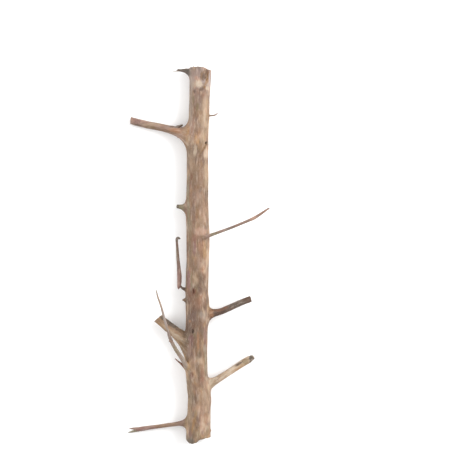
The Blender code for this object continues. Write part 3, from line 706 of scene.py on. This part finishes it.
def paintTrunk(points, grain):
    py = seenAt(points)[1]
    _, z, r = core(points[..., 1])
    front = ramp(-0.15, 0.3, (points[..., 2] - z) / r)
    places = py + 10 * layered(grain, (7, 7, 40), 31)
    heights = [height for height, _ in zones]
    tones = np.array([linear(colour) for _, colour in zones])
    tint = np.stack([np.interp(places, heights, tones[:, i]) for i in range(3)], -1)
    for colour, size, seed, low, high, share in blotches:
        tint = tinted(tint, colour, share * ramp(low, high, layered(grain, size, seed)))
    tint = tint * np.clip(1 + 0.6 * layered(grain, (11, 11, 17), 88), 0.7, 1.25)[..., None]
    return addMarks(tint, points, grain, trunkMarks, front)


def paintGrowth(growth, points, grain, over, trunkTint, front):
    base, layers, spread = growth["tint"]
    tint = np.broadcast_to(linear(base), points.shape).copy()
    for number, (colour, share, size) in enumerate(layers):
        patches = ramp(-0.1, 0.55, layered(grain, size, growth["seed"] + 40 + number))
        tint = tinted(tint, colour, share * patches)
    tint = addMarks(tint, points, grain, growth.get("marks", ()), front)
    if "host" in growth:
        return tint
    near = ramp(spread, 0.15 * spread, over + 2 * layered(grain, (3, 3, 9), 60))
    return tint + (trunkTint - tint) * near[..., None]


# meshes


def gridPiece(name, points, grain, tint, shadeAndWear, along, slot, node=None):
    # rows of rings, closed at both ends by a middle point
    rows, columns = points.shape[:2]
    grids = (points, grain, tint, shadeAndWear, along)
    data = [np.vstack([g.reshape(-1, 3), g[[0, -1]].mean(axis=1)]) for g in grids]
    j = np.arange(columns)
    k = (j + 1) % columns
    lower = (np.arange(rows - 1) * columns)[:, None]
    quads = np.stack([lower + j, lower + k, lower + columns + k, lower + columns + j], -1).reshape(-1, 4)
    first, last = rows * columns, rows * columns + 1
    top = (rows - 1) * columns
    fans = [(first, b, a) for a, b in zip(j.tolist(), k.tolist())]
    fans += [(last, top + a, top + b) for a, b in zip(j.tolist(), k.tolist())]
    mesh = bpy.data.meshes.new(name)
    mesh.from_pydata((data[0] * mm).tolist(), [], quads.tolist() + fans)
    shape = bmesh.new()
    shape.from_mesh(mesh)
    if shape.calc_volume(signed=True) < 0:
        bmesh.ops.reverse_faces(shape, faces=shape.faces)
    shape.to_mesh(mesh)
    shape.free()
    mesh.shade_smooth()
    for label, values in zip(("grain", "tint", "shadeAndWear", "along"), data[1:]):
        kind, field = "FLOAT_VECTOR", "vector"
        if label == "tint":
            kind, field = "FLOAT_COLOR", "color"
            values = np.hstack([np.clip(values, 0, 1), np.ones((len(values), 1))])
        attribute = mesh.attributes.new(label, kind, "POINT")
        attribute.data.foreach_set(field, values.astype(np.float32).ravel())
    piece = bpy.data.objects.new(name, mesh)
    bpy.context.scene.collection.objects.link(piece)
    mesh.materials.append(materials[materialOf[slot]])
    print(name, len(quads) * 2 + len(fans), "triangles")
    bakeSprinkles(name, piece)
    mesh.attributes.remove(mesh.attributes["along"])
    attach(piece, "root")
    if node:
        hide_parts(node)


# the material


class Wire:
    # a shader socket that can stand in a sum

    def __init__(self, tree, socket=None):
        self.tree, self.socket = tree, socket

    def add(self, kind, settings=None, sockets=None, output=0):
        node = self.tree.nodes.new(kind)
        for key, value in (settings or {}).items():
            setattr(node, key, value)
        for key, value in (sockets or {}).items():
            if isinstance(value, Wire):
                self.tree.links.new(value.socket, node.inputs[key])
            else:
                node.inputs[key].default_value = value
        return Wire(self.tree, node.outputs[output])

    def math(self, operation, a, b=0.0):
        return self.add("ShaderNodeMath", {"operation": operation}, {0: a, 1: b})

    def __add__(self, other):
        return self.math("ADD", self, other)

    __radd__ = __add__

    def __sub__(self, other):
        return self.math("SUBTRACT", self, other)

    def __rsub__(self, other):
        return self.math("SUBTRACT", other, self)

    def __mul__(self, other):
        return self.math("MULTIPLY", self, other)

    __rmul__ = __mul__

    def mapped(self, low, high, toLow=0.0, toHigh=1.0):
        sockets = {0: self, 1: low, 2: high, 3: toLow, 4: toHigh}
        return self.add("ShaderNodeMapRange", {"interpolation_type": "SMOOTHSTEP"}, sockets)

    def scaled(self, way):
        return self.add("ShaderNodeVectorMath", {"operation": "MULTIPLY"}, {0: self, 1: way})

    def grown(self, way):
        return self.add("ShaderNodeVectorMath", {"operation": "ADD"}, {0: self, 1: way})

    def noise(self, scale=1.0, detail=3.0, rough=0.5):
        sockets = {"Vector": self, "Scale": scale, "Detail": detail, "Roughness": rough}
        return self.add("ShaderNodeTexNoise", {}, sockets)

    def other(self, name):
        return Wire(self.tree, self.socket.node.outputs[name])

    def stored(self, name, kind, value):
        sockets = {"Geometry": self, "Name": name, "Value": value}
        return self.add("GeometryNodeStoreNamedAttribute", {"data_type": kind}, sockets)

    def mixed(self, other, factor, blend="MIX"):
        settings = {"data_type": "RGBA", "blend_type": blend}
        return self.add("ShaderNodeMix", settings, {0: factor, 6: self, 7: other}, 2)


# what differs from wood to wood: strength of streaks, fine lines, flecks and bump, roughness, specular
woods = {
    "trunkWood": {
        "streaks": 0.29, "fine": 0.29, "flecks": 0.4, "bump": 0.45, "rough": (0.5, 0.78), "specular": 0.35,
    },
    "branchWood": {
        "streaks": 0.42, "fine": 0.42, "flecks": 0.45, "bump": 0.5, "rough": (0.55, 0.82), "specular": 0.3,
    },
    "twigWood": {
        "streaks": 0.45, "fine": 0.45, "flecks": 0.35, "bump": 0.5, "rough": (0.5, 0.75), "specular": 0.35,
    },
    "paleBranchWood": {
        "streaks": 0.4, "fine": 0.4, "flecks": 0.4, "bump": 0.5, "rough": (0.55, 0.8), "specular": 0.3,
    },
}
# noise in the wood, where z runs along it: waves a millimetre, detail, roughness
figures = {
    "waver": ((0.08, 0.08, 0.03), 2.0, 0.5), "broad": ((0.33, 0.33, 0.07), 3.0, 0.5),
    "streak": ((0.75, 0.75, 0.11), 4.0, 0.6), "fibre": ((3.0, 3.0, 0.16), 4.0, 0.65),
    "pores": ((2.2, 2.2, 0.35), 2.0, 0.5), "mottle": ((0.2, 0.2, 0.1), 4.0, 0.6),
    "flecks": ((1.1, 1.1, 0.42), 2.0, 0.5),
}
stains = {
    "streak": (0.62, 0.44, 0.33, 1), "broad": (0.6, 0.5, 0.42, 1), "mottle": (0.92, 0.66, 0.50, 1),
    "fleck": (0.66, 0.52, 0.42, 1), "paleFleck": (0.62, 0.52, 0.40, 1), "fibre": (0.55, 0.42, 0.34, 1),
    "paleFibre": (0.6, 0.5, 0.4, 1), "pore": (0.30, 0.20, 0.15, 1), "ring": (0.62, 0.47, 0.36, 1),
    # the last colour here is painted shade, put into cracks, slits and hollows, and also used for the darker
    # piths
    "endPore": (0.34, 0.25, 0.19, 1), "pitShade": (0.060, 0.036, 0.025, 1),
}
ringTurns = 3.6  # radians a millimetre, so a ring every 1.7 mm
bumpDepth = 0.0006


def makeWood(name, look):
    material = bpy.data.materials.new(name)
    material.use_nodes = True
    tree = material.node_tree
    shader = tree.nodes["Principled BSDF"]
    start = Wire(tree)
    grain = start.add("ShaderNodeAttribute", {"attribute_name": "grain"}, {}, "Vector")
    tint = start.add("ShaderNodeAttribute", {"attribute_name": "tint"}, {}, "Color")
    # the third attribute holds painted shade in cracks, slits and hollows with the darker piths (x), the
    # end-cut mask (y), and where bark or fibres are shed (z)
    shadeAndWear = start.add("ShaderNodeAttribute", {"attribute_name": "shadeAndWear"}, {}, "Vector")
    pitShade = shadeAndWear.add("ShaderNodeSeparateXYZ", {}, {0: shadeAndWear}, 0)
    cut = shadeAndWear.add("ShaderNodeSeparateXYZ", {}, {0: shadeAndWear}, 1)

    def figure(label, place):
        waves, detail, rough = figures[label]
        return place.scaled(waves).noise(1.0, detail, rough)

    lines = grain.grown(figure("waver", grain).other("Color").scaled((2.4, 2.4, 0.0)))
    broad, streak = figure("broad", lines), figure("streak", lines)
    fibre, pores, flecks = figure("fibre", lines), figure("pores", lines), figure("flecks", lines)
    mottle = figure("mottle", grain)
    layers = (
        ("streak", streak.mapped(0.5, 0.75) * look["streaks"], "MULTIPLY"),
        ("broad", broad.mapped(0.52, 0.75) * 0.22, "MIX"),
        ("mottle", mottle.mapped(0.45, 0.75) * 0.5, "MULTIPLY"),
        ("fleck", flecks.mapped(0.55, 0.75) * look["flecks"], "MULTIPLY"),
        ("paleFleck", flecks.mapped(0.42, 0.25) * look["flecks"] * 0.3, "MIX"),
        ("fibre", fibre.mapped(0.5, 0.75) * look["fine"], "MULTIPLY"),
        ("paleFibre", fibre.mapped(0.48, 0.28) * 0.14, "MIX"),
        ("pore", pores.mapped(0.66, 0.76) * 0.5, "MULTIPLY"),
    )
    colour = tint
    for stain, strength, blend in layers:
        colour = colour.mixed(stains[stain], strength, blend)
    across = grain.scaled((1.0, 1.0, 0.0))
    radius = across.add("ShaderNodeVectorMath", {"operation": "LENGTH"}, {0: across}, "Value")
    rings = start.math("SINE", radius * ringTurns + mottle * 4.0).mapped(-0.4, 1.0)
    endTone = tint.mixed(stains["ring"], rings * 0.6, "MULTIPLY")
    endTone = endTone.mixed(stains["endPore"], pores.mapped(0.55, 0.7) * 0.6, "MULTIPLY")
    # end grain on the cut faces, then painted shade: cracks, slits and hollows go towards near black, and
    # piths darker
    colour = colour.mixed(endTone, cut).mixed(stains["pitShade"], pitShade)
    height = fibre * 0.7 + streak * 0.6 - pores.mapped(0.64, 0.76) * 0.3 + rings * cut * 0.4
    bumps = {"Strength": look["bump"], "Distance": bumpDepth, "Height": height}
    bump = height.add("ShaderNodeBump", {}, bumps)
    tree.links.new(colour.socket, shader.inputs["Base Color"])
    tree.links.new(fibre.mapped(0.3, 0.7, *look["rough"]).socket, shader.inputs["Roughness"])
    tree.links.new(bump.socket, shader.inputs["Normal"])
    shader.inputs["Specular IOR Level"].default_value = look["specular"]
    return material


materials = {name: makeWood(name, look) for name, look in woods.items()}
materialOf = {
    "trunk_wood": "trunkWood", "branch_wood": "branchWood",
    "twig_wood": "twigWood", "pale_branch_wood": "paleBranchWood",
}
print("materials made")

# flakes of bark and torn fibres, made by Geometry Nodes

sprinkles = {
    # where the third shade-and-wear value is above nought: flakes; below nought: fibres
    "Bark": {
        "sign": 1.0, "density": 420000.0, "seed": 5,
        "width": 0.42, "thick": 0.10, "curl": 0.32, "point": 0.55, "shift": 0.0,
        "small": (0.0012, 0.0012, 0.0012), "large": (0.0034, 0.0026, 0.0028), "spin": (0.15, 0.22, 0.5),
        "colour": (0.065, 0.048, 0.038, 1), "share": 0.55,
    },
    "Fibres": {
        "sign": -1.0, "density": 260000.0, "seed": 9,
        "width": 0.16, "thick": 0.13, "curl": 0.22, "point": 0.9, "shift": 0.28,
        "small": (0.0008, 0.0012, 0.0012), "large": (0.0028, 0.0022, 0.0022), "spin": (0.4, 0.32, 0.35),
        "colour": (0.22, 0.16, 0.11, 1), "share": 0.45,
    },
}


def makeSprinkle(name, look):
    group = bpy.data.node_groups.new(name, "GeometryNodeTree")
    names = {}
    inputs = {"Geometry": "Geometry", "Density": "Float", "Seed": "Int", "Material": "Material"}
    for label, kind in inputs.items():
        socket = group.interface.new_socket(label, in_out="INPUT", socket_type="NodeSocket" + kind)
        names[label] = socket.identifier
    group.interface.new_socket("Geometry", in_out="OUTPUT", socket_type="NodeSocketGeometry")
    start = Wire(group, group.nodes.new("NodeGroupInput").outputs["Geometry"])

    def stored(label, kind="FLOAT_VECTOR"):
        return start.add("GeometryNodeInputNamedAttribute", {"data_type": kind}, {"Name": label}, "Attribute")

    def random(low, high, seed):
        sockets = {0: low, 1: high, "Seed": seed}
        return start.add("FunctionNodeRandomValue", {"data_type": "FLOAT_VECTOR"}, sockets)

    # one flake or fibre, bent and pointed, from a thin box
    box = start.add("GeometryNodeMeshCube", {}, {"Vertices X": 7, "Vertices Y": 3, "Vertices Z": 2}, "Mesh")
    x = start.add("ShaderNodeSeparateXYZ", {}, {0: start.add("GeometryNodeInputPosition")}, "X")
    y, z = x.other("Y"), x.other("Z")
    if look["sign"] > 0:
        taper = 1.0 - x * x * (4 * look["point"])
    else:
        taper = 1.0 - (x + 0.5) * look["point"]
    bent = z * taper * look["thick"] + x * x * look["curl"]
    shaped = {"X": x + look["shift"], "Y": y * taper * look["width"], "Z": bent}
    moved = start.add("ShaderNodeCombineXYZ", {}, shaped)
    flake = start.add("GeometryNodeSetPosition", {}, {"Geometry": box, "Position": moved})
    ownGrain = start.add("ShaderNodeCombineXYZ", {}, {"X": y * 3.0, "Y": z * 3.0, "Z": x * 8.0})
    flake = flake.stored("grain", "FLOAT_VECTOR", ownGrain)

    # where they stand, and how they turn with the wood
    mask = start.add("ShaderNodeSeparateXYZ", {}, {0: stored("shadeAndWear")}, "Z") * look["sign"]
    density = mask.math("MAXIMUM", mask, 0.0) * start.other("Density")
    spread = {"Mesh": start, "Density": density, "Seed": start.other("Seed")}
    points = start.add("GeometryNodeDistributePointsOnFaces", {}, spread, "Points")
    turn = {"Rotation": points.other("Rotation"), "Vector": stored("along")}
    turn = start.add("FunctionNodeAlignRotationToVector", {"axis": "X", "pivot_axis": "Z"}, turn)
    spin = random(tuple(-v for v in look["spin"]), look["spin"], look["seed"])
    turn = {"Rotation": turn, "Rotate By": spin}
    turn = start.add("FunctionNodeRotateRotation", {"rotation_space": "LOCAL"}, turn)
    size = random(look["small"], look["large"], look["seed"] + 1)
    tint = stored("tint", "FLOAT_COLOR").mixed(look["colour"], look["share"])
    points = points.stored("tint", "FLOAT_COLOR", tint)
    for label in ("grain", "shadeAndWear", "along"):
        points = start.add("GeometryNodeRemoveAttribute", {}, {"Geometry": points, "Name": label})
    placed = {"Points": points, "Instance": flake, "Rotation": turn, "Scale": size}
    made = start.add("GeometryNodeInstanceOnPoints", {}, placed)
    made = start.add("GeometryNodeRealizeInstances", {}, {"Geometry": made})
    dressed = {"Geometry": made, "Material": start.other("Material")}
    made = start.add("GeometryNodeSetMaterial", {}, dressed)
    group.links.new(made.socket, group.nodes.new("NodeGroupOutput").inputs[0])
    return group, names


sprinkleGroups = {label: makeSprinkle("scatter" + label, look) for label, look in sprinkles.items()}


def bakeSprinkles(name, host):
    values = np.zeros(len(host.data.vertices) * 3, np.float32)
    host.data.attributes["shadeAndWear"].data.foreach_get("vector", values)
    shed = values[2::3]
    for label, look in sprinkles.items():
        if (shed * look["sign"]).max() < 0.05:
            continue
        group, names = sprinkleGroups[label]
        modifier = host.modifiers.new(label, "NODES")
        modifier.node_group = group
        modifier[names["Density"]] = look["density"]
        modifier[names["Seed"]] = look["seed"]
        modifier[names["Material"]] = host.data.materials[0]
        graph = bpy.context.evaluated_depsgraph_get()
        made = host.evaluated_get(graph)
        mesh = bpy.data.meshes.new_from_object(made, preserve_all_data_layers=True, depsgraph=graph)
        host.modifiers.remove(modifier)
        if not mesh.polygons:
            bpy.data.meshes.remove(mesh)
            continue
        mesh.name = name + label
        mesh.shade_smooth()
        piece = bpy.data.objects.new(name + label, mesh)
        bpy.context.scene.collection.objects.link(piece)
        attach(piece, "root")
        print(name + label, len(mesh.polygons) * 2, "triangles at most")


# the trunk's surface

# drying cracks, with painted shade along their middles: angle in degrees at each end, y at each end, half
# width, depth
cracks = (
    (100, 97, 140, 164, 0.45, 0.6), (88, 92, 4, 26, 0.4, 0.5), (112, 115, -166, -134, 0.5, 0.7),
    (58, 62, -146, -118, 0.4, 0.5), (128, 124, -252, -222, 0.45, 0.6), (70, 74, 206, 232, 0.4, 0.5),
    (40, 37, 76, 104, 0.45, 0.6), (150, 154, 30, 84, 0.5, 0.8),
    (20, 24, -92, -52, 0.5, 0.8), (200, 208, -120, -30, 0.6, 1.1),
    (232, 226, 60, 150, 0.6, 1.2), (318, 324, -220, -130, 0.6, 1.1), (338, 330, 10, 80, 0.5, 1.0),
    (262, 270, -290, -210, 0.6, 1.2), (285, 280, 150, 240, 0.6, 1.1), (172, 178, 180, 262, 0.5, 0.9),
)
# scooped hollows: angle in degrees, y, half width, half length, depth, turn in degrees, strength of the
# painted shade inside
hollows = (
    (52, 293, 6.6, 15, 5.2, -4, 0.3), (60, 281, 2.0, 7, 2.0, -10, 0.9),
    (110, -123.0, 2.2, 3.8, 2.6, 6, 0.3),
    (42, 176.8, 2.2, 2.6, 3.2, 30, 0.9), (50, 168, 1.1, 10, 1.1, 26, 0.9),
    (104, -59, 2.0, 4.2, 2.2, 0, 0.25),
    (226, -60, 3.0, 6, 1.8, 10, 0.9), (300, 90, 3.4, 5, 2.2, -8, 0.9),
)


def trunkColumns():
    u = np.arange(trunk["around"]) / trunk["around"] * 2 * math.pi
    return u + 0.22 * np.cos(u)


def trunkRows():
    y = np.linspace(-trunk["sideEnd"], trunk["sideEnd"], 6000)
    density = np.ones_like(y)
    for y0, half, more in trunk["fine"]:
        density += more * np.exp(-(((y - y0) / half) ** 2))
    total = np.cumsum(density)
    total = (total - total[0]) / (total[-1] - total[0])
    return np.interp(np.linspace(0, 1, trunk["sideRows"]), total, y)


def trunkReach(angle, y):
    # the trunk's own radius, raised where branches and stubs swell out of it
    x, z, r = core(y)
    reach = r + girth(angle, y)
    axis = np.stack([x, y, z], -1)
    out = np.stack([np.cos(angle), np.zeros_like(angle), np.sin(angle)], -1)
    for growth in {**branches, **stubs}.values():
        path, blend, flare = growth["path"], growth["blend"], growth["flare"]
        middle = path.at(growth["exit"])
        wide = middle[3] + max(flare[:3]) + blend + 3
        near = np.linalg.norm(axis + out * reach[..., None] - middle[:3], axis=-1) < wide
        if not near.any():
            continue
        own, way = axis[near], out[near]

        def isInside(far):
            p = own + way * far[:, None]
            s = path.nearest(p)
            at = path.at(s)
            over = overTrunk(p)
            other = overShoot(p, at[:, :3], path.way(s), at[:, 3], flare, over)
            return ownSide(over, other, blend) < 0

        found = halved(reach[near], reach[near] + blend + 2, isInside, rounds=16)
        reach[near] = np.maximum(reach[near], found)
    return reach


def hollowAt(angle, y, radius, grain):
    depth = 0.0
    dark = np.zeros_like(angle)
    ragged = 0.16 * layered(grain, (1.4, 1.4, 4), 71)
    for degrees, y0, halfWidth, halfLength, deep, turn, paintedShade in hollows:
        gap = spotGap(turnFrom(angle, degrees) * radius, y - y0, halfWidth, halfLength, turn) + ragged
        rim = 0.35 * np.exp(-(((gap - 1.25) / 0.22) ** 2)) * min(1.0, deep / 3)
        depth = depth - deep * ramp(1.1, 0.35, gap) + rim
        # painted shade inside the hollow
        dark = np.maximum(dark, ramp(1.0, 0.3, gap) * min(1.0, deep / 4) * paintedShade)
    return depth, dark


def crackAt(angle, y, radius):
    depth, dark = 0.0, np.zeros_like(angle)
    for number, (first, last, y0, y1, half, deep) in enumerate(cracks):
        t = (y - y0) / (y1 - y0)
        wander = 2.0 * noise(np.stack([y * 0 + number * 9.7, y, y * 0], -1), (1, 17, 1), 72)
        off = turnFrom(angle, first + (last - first) * t + wander) * radius
        ends = ramp(0, 0.18, t) * ramp(1, 0.82, t)
        width = half * (0.5 + 0.5 * ends)
        cut = ends * np.exp(-((off / width) ** 2))
        depth = depth - deep * cut
        # painted shade along the crack's middle
        dark = np.maximum(dark, 0.8 * ends * np.exp(-((off / (0.8 * width)) ** 2)))
    return depth, dark


def cutAt(label, x, z):
    # where a cut face lies along the trunk
    across, heights = zip(*trunk[label])
    return np.interp(x, across, heights) + trunk["lean"][label] * (z - trunk["leanFrom"])


def trunkCap(label, edge, grain, middle):
    # rows from the rim of a cut face to its middle, with growth rings, drying cracks and a pith
    sign, rough = (1, 1.0) if label == "top" else (-1, 2.2)
    off = (edge - middle) * (1, 0, 1)
    rows = []
    for share in (0.992, 0.975, *np.linspace(0.95, 0.03, trunk["capRows"] - 2)):
        p = middle + off * share
        q = np.stack([p[:, 0], p[:, 2], p[:, 0] * 0], -1)
        away = np.linalg.norm(off * share, axis=-1)
        relief = 0.5 * layered(q, (5, 5, 5), 65) + 0.25 * noise(q, (1.1, 1.1, 1), 66)
        relief = relief + 0.12 * np.sin(away * 3.3 + 3 * noise(q, (6, 6, 6), 67))
        relief = relief * rough - 1.2 * np.exp(-((away / 1.6) ** 2))
        spokes = np.cos(5 * np.arctan2(off[:, 2], off[:, 0]) + 1.3 * noise(q, (5, 5, 5), 68))
        spokes = np.maximum(0, spokes) ** 60
        relief = relief - 1.3 * spokes * ramp(0.15, 0.5, share) * ramp(1.0, 0.8, share)
        blend = ramp(1.0, 0.9, share)
        height = edge[:, 1] * (1 - blend) + cutAt(label, p[:, 0], p[:, 2]) * blend
        height = height + sign * (0.35 * ramp(1.0, 0.975, share) + relief * blend)
        # painted shade in the radial drying cracks of the cut face, and a darker pith
        hole = np.clip(0.6 * spokes * blend + 0.5 * np.exp(-((away / 1.5) ** 2)), 0, 1)
        rows.append((
            np.stack([p[:, 0], height, p[:, 2]], -1),
            np.stack([grain[:, 0] * share, grain[:, 1] * share, height], -1),
            np.stack([hole, np.full_like(away, blend), 0 * away], -1),
        ))
    return [np.array(grid) for grid in zip(*rows)]


def makeTrunk():
    angles, rows = trunkColumns(), trunkRows()
    angle, y = np.meshgrid(angles, rows)
    for label, edge in (("foot", rows[0]), ("top", rows[-1])):
        cx, cz, cr = core(np.full_like(angles, edge))
        wide = cr + girth(angles, edge)
        level = cutAt(label, cx + np.cos(angles) * wide, cz + np.sin(angles) * wide)
        for degrees, half, high in trunk["teeth"][label]:
            level = level + high * np.exp(-((turnFrom(angles, degrees) * wide / half) ** 2))
        y = y + (level - edge) * ramp(trunk["bendFrom"][label], edge, rows)[:, None]
    x, z, r = core(y)
    reach = trunkReach(angle, y)
    bare = r + girth(angle, y)
    grain = np.stack([np.cos(angle) * bare, np.sin(angle) * bare, y], -1)
    raised = ramp(0.3, 3.0, reach - bare)
    calm = 1 - 0.9 * np.maximum(0, -np.sin(angle)) ** 4
    lumps = 0.7 * layered(grain, (9, 9, 46), 61) + 0.22 * layered(grain, (3.2, 3.2, 30), 62)
    ridges = 0.21 * (1 - 2 * np.abs(noise(grain, (1.5, 1.5, 34), 63)))
    ridges = ridges + 0.10 * noise(grain, (1.0, 1.0, 16), 64)
    # the hollows and cracks give painted shade inside them, kept in the first shade-and-wear value
    shift, pitShade = hollowAt(angle, y, bare, grain)
    crack, crackShade = crackAt(angle, y, bare)
    reach = reach + lumps * calm * (1 - raised) + ridges * (1 - 0.7 * raised) * (0.35 + 0.65 * calm)
    reach = reach + shift + crack * (1 - raised)
    pitShade = np.maximum(pitShade, crackShade * (1 - raised))
    points = np.stack([x + np.cos(angle) * reach, y, np.maximum(z + np.sin(angle) * reach, lowest)], -1)
    torn = -ramp(296, 299, y) - ramp(-299, -301, y) * 0.6
    side = [points, grain, np.stack([pitShade, 0 * pitShade, torn], -1)]
    caps = []
    for label, ring in (("foot", 0), ("top", -1)):
        middle = np.array([x[ring].mean(), 0, z[ring].mean()])
        caps.append(trunkCap(label, points[ring], grain[ring], middle))
    points, grain, shadeAndWear = (np.concatenate([a[::-1], b, c]) for a, b, c in zip(caps[0], side, caps[1]))
    tint = paintTrunk(points, grain)
    along = np.broadcast_to(toTop, points.shape) * np.where(points[..., 1:2] > 0, 1.0, -1.0)
    gridPiece("trunkPiece", points, grain, tint, shadeAndWear, along, "trunk_wood", "trunk")


# branch and stub surfaces

tips = {
    # how far the end domes, how deep it is torn, how soft its edge is
    "sawn": (0.0, 0.12, 0.05), "worn": (0.8, 0.15, 0.5), "snapped": (0.6, 2.86, 0.1),
}


def makeGrowth(name, growth):
    path, blend, flare, seed = growth["path"], growth["blend"], growth["flare"], growth["seed"]
    first = 0.0 if growth.get("loose") else max(0.5, growth["exit"] - growth["route"][0][3] * 1.2 - 3)
    last = path.length
    stations = np.linspace(first, last, growth["rows"])
    at = path.at(stations)
    ways = path.way(stations)
    normals = [unit(toTop - ways[0] * ways[0][1])]
    for way in ways[1:]:
        normals.append(unit(normals[-1] - way * (normals[-1] @ way)))
    normals = np.array(normals)
    sides = np.cross(ways, normals)
    theta = np.arange(growth["around"]) / growth["around"] * 2 * math.pi
    out = normals[:, None] * np.cos(theta)[:, None] + sides[:, None] * np.sin(theta)[:, None]
    centre, way, radius = at[:, None, :3], ways[:, None], at[:, None, 3]
    low = np.broadcast_to(radius * 0.3, out.shape[:2])
    high = np.broadcast_to(radius + max(flare[:3]) + blend + 1, out.shape[:2])

    def isInside(far):
        p = centre + out * far[..., None]
        over = overHost(growth, p)
        return ownSide(overShoot(p, centre, way, radius, flare, over), over, blend) < 0

    reach = halved(low, high, isInside, rounds=18)
    over = overHost(growth, centre + out * reach[..., None])
    free = ramp(1.0, 6.0, over) if "host" not in growth else ramp(0.0, 1.5, over)
    run = np.broadcast_to(stations[:, None], over.shape)
    turned = theta + 0.012 * run
    grain = np.stack([np.cos(turned) * radius, np.sin(turned) * radius, run], -1)
    oval = 0.07 * np.sin(2 * theta + seed + run * 0.03) + 0.045 * np.sin(3 * theta - seed * 2 + run * 0.05)
    lumps = layered(grain, (3.5, 3.5, 14), seed) + 0.5 * noise(grain, (1.6, 1.6, 9), seed + 30)
    lumps = growth["lumps"] * lumps
    ridges = 0.10 * (1 - 2 * np.abs(noise(grain, (0.9, 0.9, 18), seed + 40)))
    slits = np.exp(-((noise(grain, (2.2, 2.2, 26), seed + 50) / 0.05) ** 2))
    slits = slits * ramp(0.1, 0.5, noise(grain, (5, 5, 14), seed + 55))
    scale = np.minimum(1, radius * 0.3)  # thin twigs have finer relief
    reach = reach + free * (oval * radius + (lumps + ridges) * scale - 0.35 * slits * scale)
    dome, torn, soft = tips[growth["tip"]]
    lean, leanTurn = growth["tilt"]
    tipRadius = radius[-1, 0]
    disk = np.stack([np.cos(theta), np.sin(theta), 0 * theta], -1)

    def shiftAt(share):
        q = disk * share
        rough = layered(q + seed, (0.55, 0.55, 1), seed + 70) * torn
        slope = lean * (q[:, 0] * math.cos(leanTurn) + q[:, 1] * math.sin(leanTurn))
        return tipRadius * (slope + rough + dome * (np.sqrt(max(0.0, 1 - share * share)) - 0.5 * dome))

    near = ramp(last - 2.5 * tipRadius, last, stations)[:, None]
    shift = shiftAt(1.0)[None, :] * near
    narrow = 1 - soft * ramp(last - soft * 2.2 * tipRadius - 0.01, last, stations)[:, None] * 0.35
    points = centre + out * (reach * narrow)[..., None] + ways[:, None] * shift[..., None]
    points[..., 2] = np.maximum(points[..., 2], lowest)
    # painted shade in the slits along the branch
    shadeAndWear = np.stack([np.clip(slits * free * 0.8, 0, 1), 0 * over, 0 * over], -1)
    capShares = [0.985, 0.95] + list(np.linspace(0.9, 0.05, 12))
    capRows, capGrain, capWear = [], [], []
    edge = points[-1] - centre[-1] - ways[-1] * shift[-1][:, None]
    fresh = 0.5 if growth["tip"] == "worn" else 1.0
    for share in capShares:
        pith = 0.35 if share < 0.12 else 0.0
        row = centre[-1] + edge * share + ways[-1] * (shiftAt(share)[:, None])
        row[:, 2] = np.maximum(row[:, 2], lowest)
        capRows.append(row)
        capGrain.append(np.stack([grain[-1, :, 0] * share, grain[-1, :, 1] * share, 0 * theta + last], -1))
        capWear.append(np.full((len(theta), 3), (pith, fresh * float(ramp(1, 0.95, share)), 0.0)))
    points = np.concatenate([points, np.array(capRows)])
    grain = np.concatenate([grain, np.array(capGrain)])
    shadeAndWear = np.concatenate([shadeAndWear, np.array(capWear)])
    over = overHost(growth, points)
    x, z, r = core(points[..., 1])
    angle = np.arctan2(points[..., 2] - z, points[..., 0] - x)
    hostGrain = np.stack([np.cos(angle) * r, np.sin(angle) * r, points[..., 1]], -1)
    level = np.concatenate([at[:, 2], np.full(len(capShares), at[-1, 2])])[:, None]
    front = ramp(-0.6, 0.2, (points[..., 2] - level) / tipRadius)
    tint = paintGrowth(growth, points, grain, over, paintTrunk(points, hostGrain), front)
    px, py = seenAt(points)
    for mx, my, halfWidth, halfLength, turn, share in growth.get("bark", ()):
        gap = spotGap(px - mx, py - my, halfWidth, halfLength, turn)
        shadeAndWear[..., 2] = np.maximum(shadeAndWear[..., 2], share * front * ramp(1.2, 0.7, gap))
    if growth["tip"] == "snapped":
        shadeAndWear[: len(stations), :, 2] -= ramp(last - 1.5 - 0.6 * tipRadius, last, stations)[:, None]
    slot = growth.get("slot", "trunk_wood")
    along = np.concatenate([ways, np.repeat(ways[-1:], len(capShares), axis=0)])
    along = np.broadcast_to(along[:, None], points.shape)
    gridPiece(name, points, grain, tint, shadeAndWear, along, slot, growth.get("node"))


makeTrunk()
for name, growth in growths.items():
    makeGrowth(name, growth)
print("pieces made")
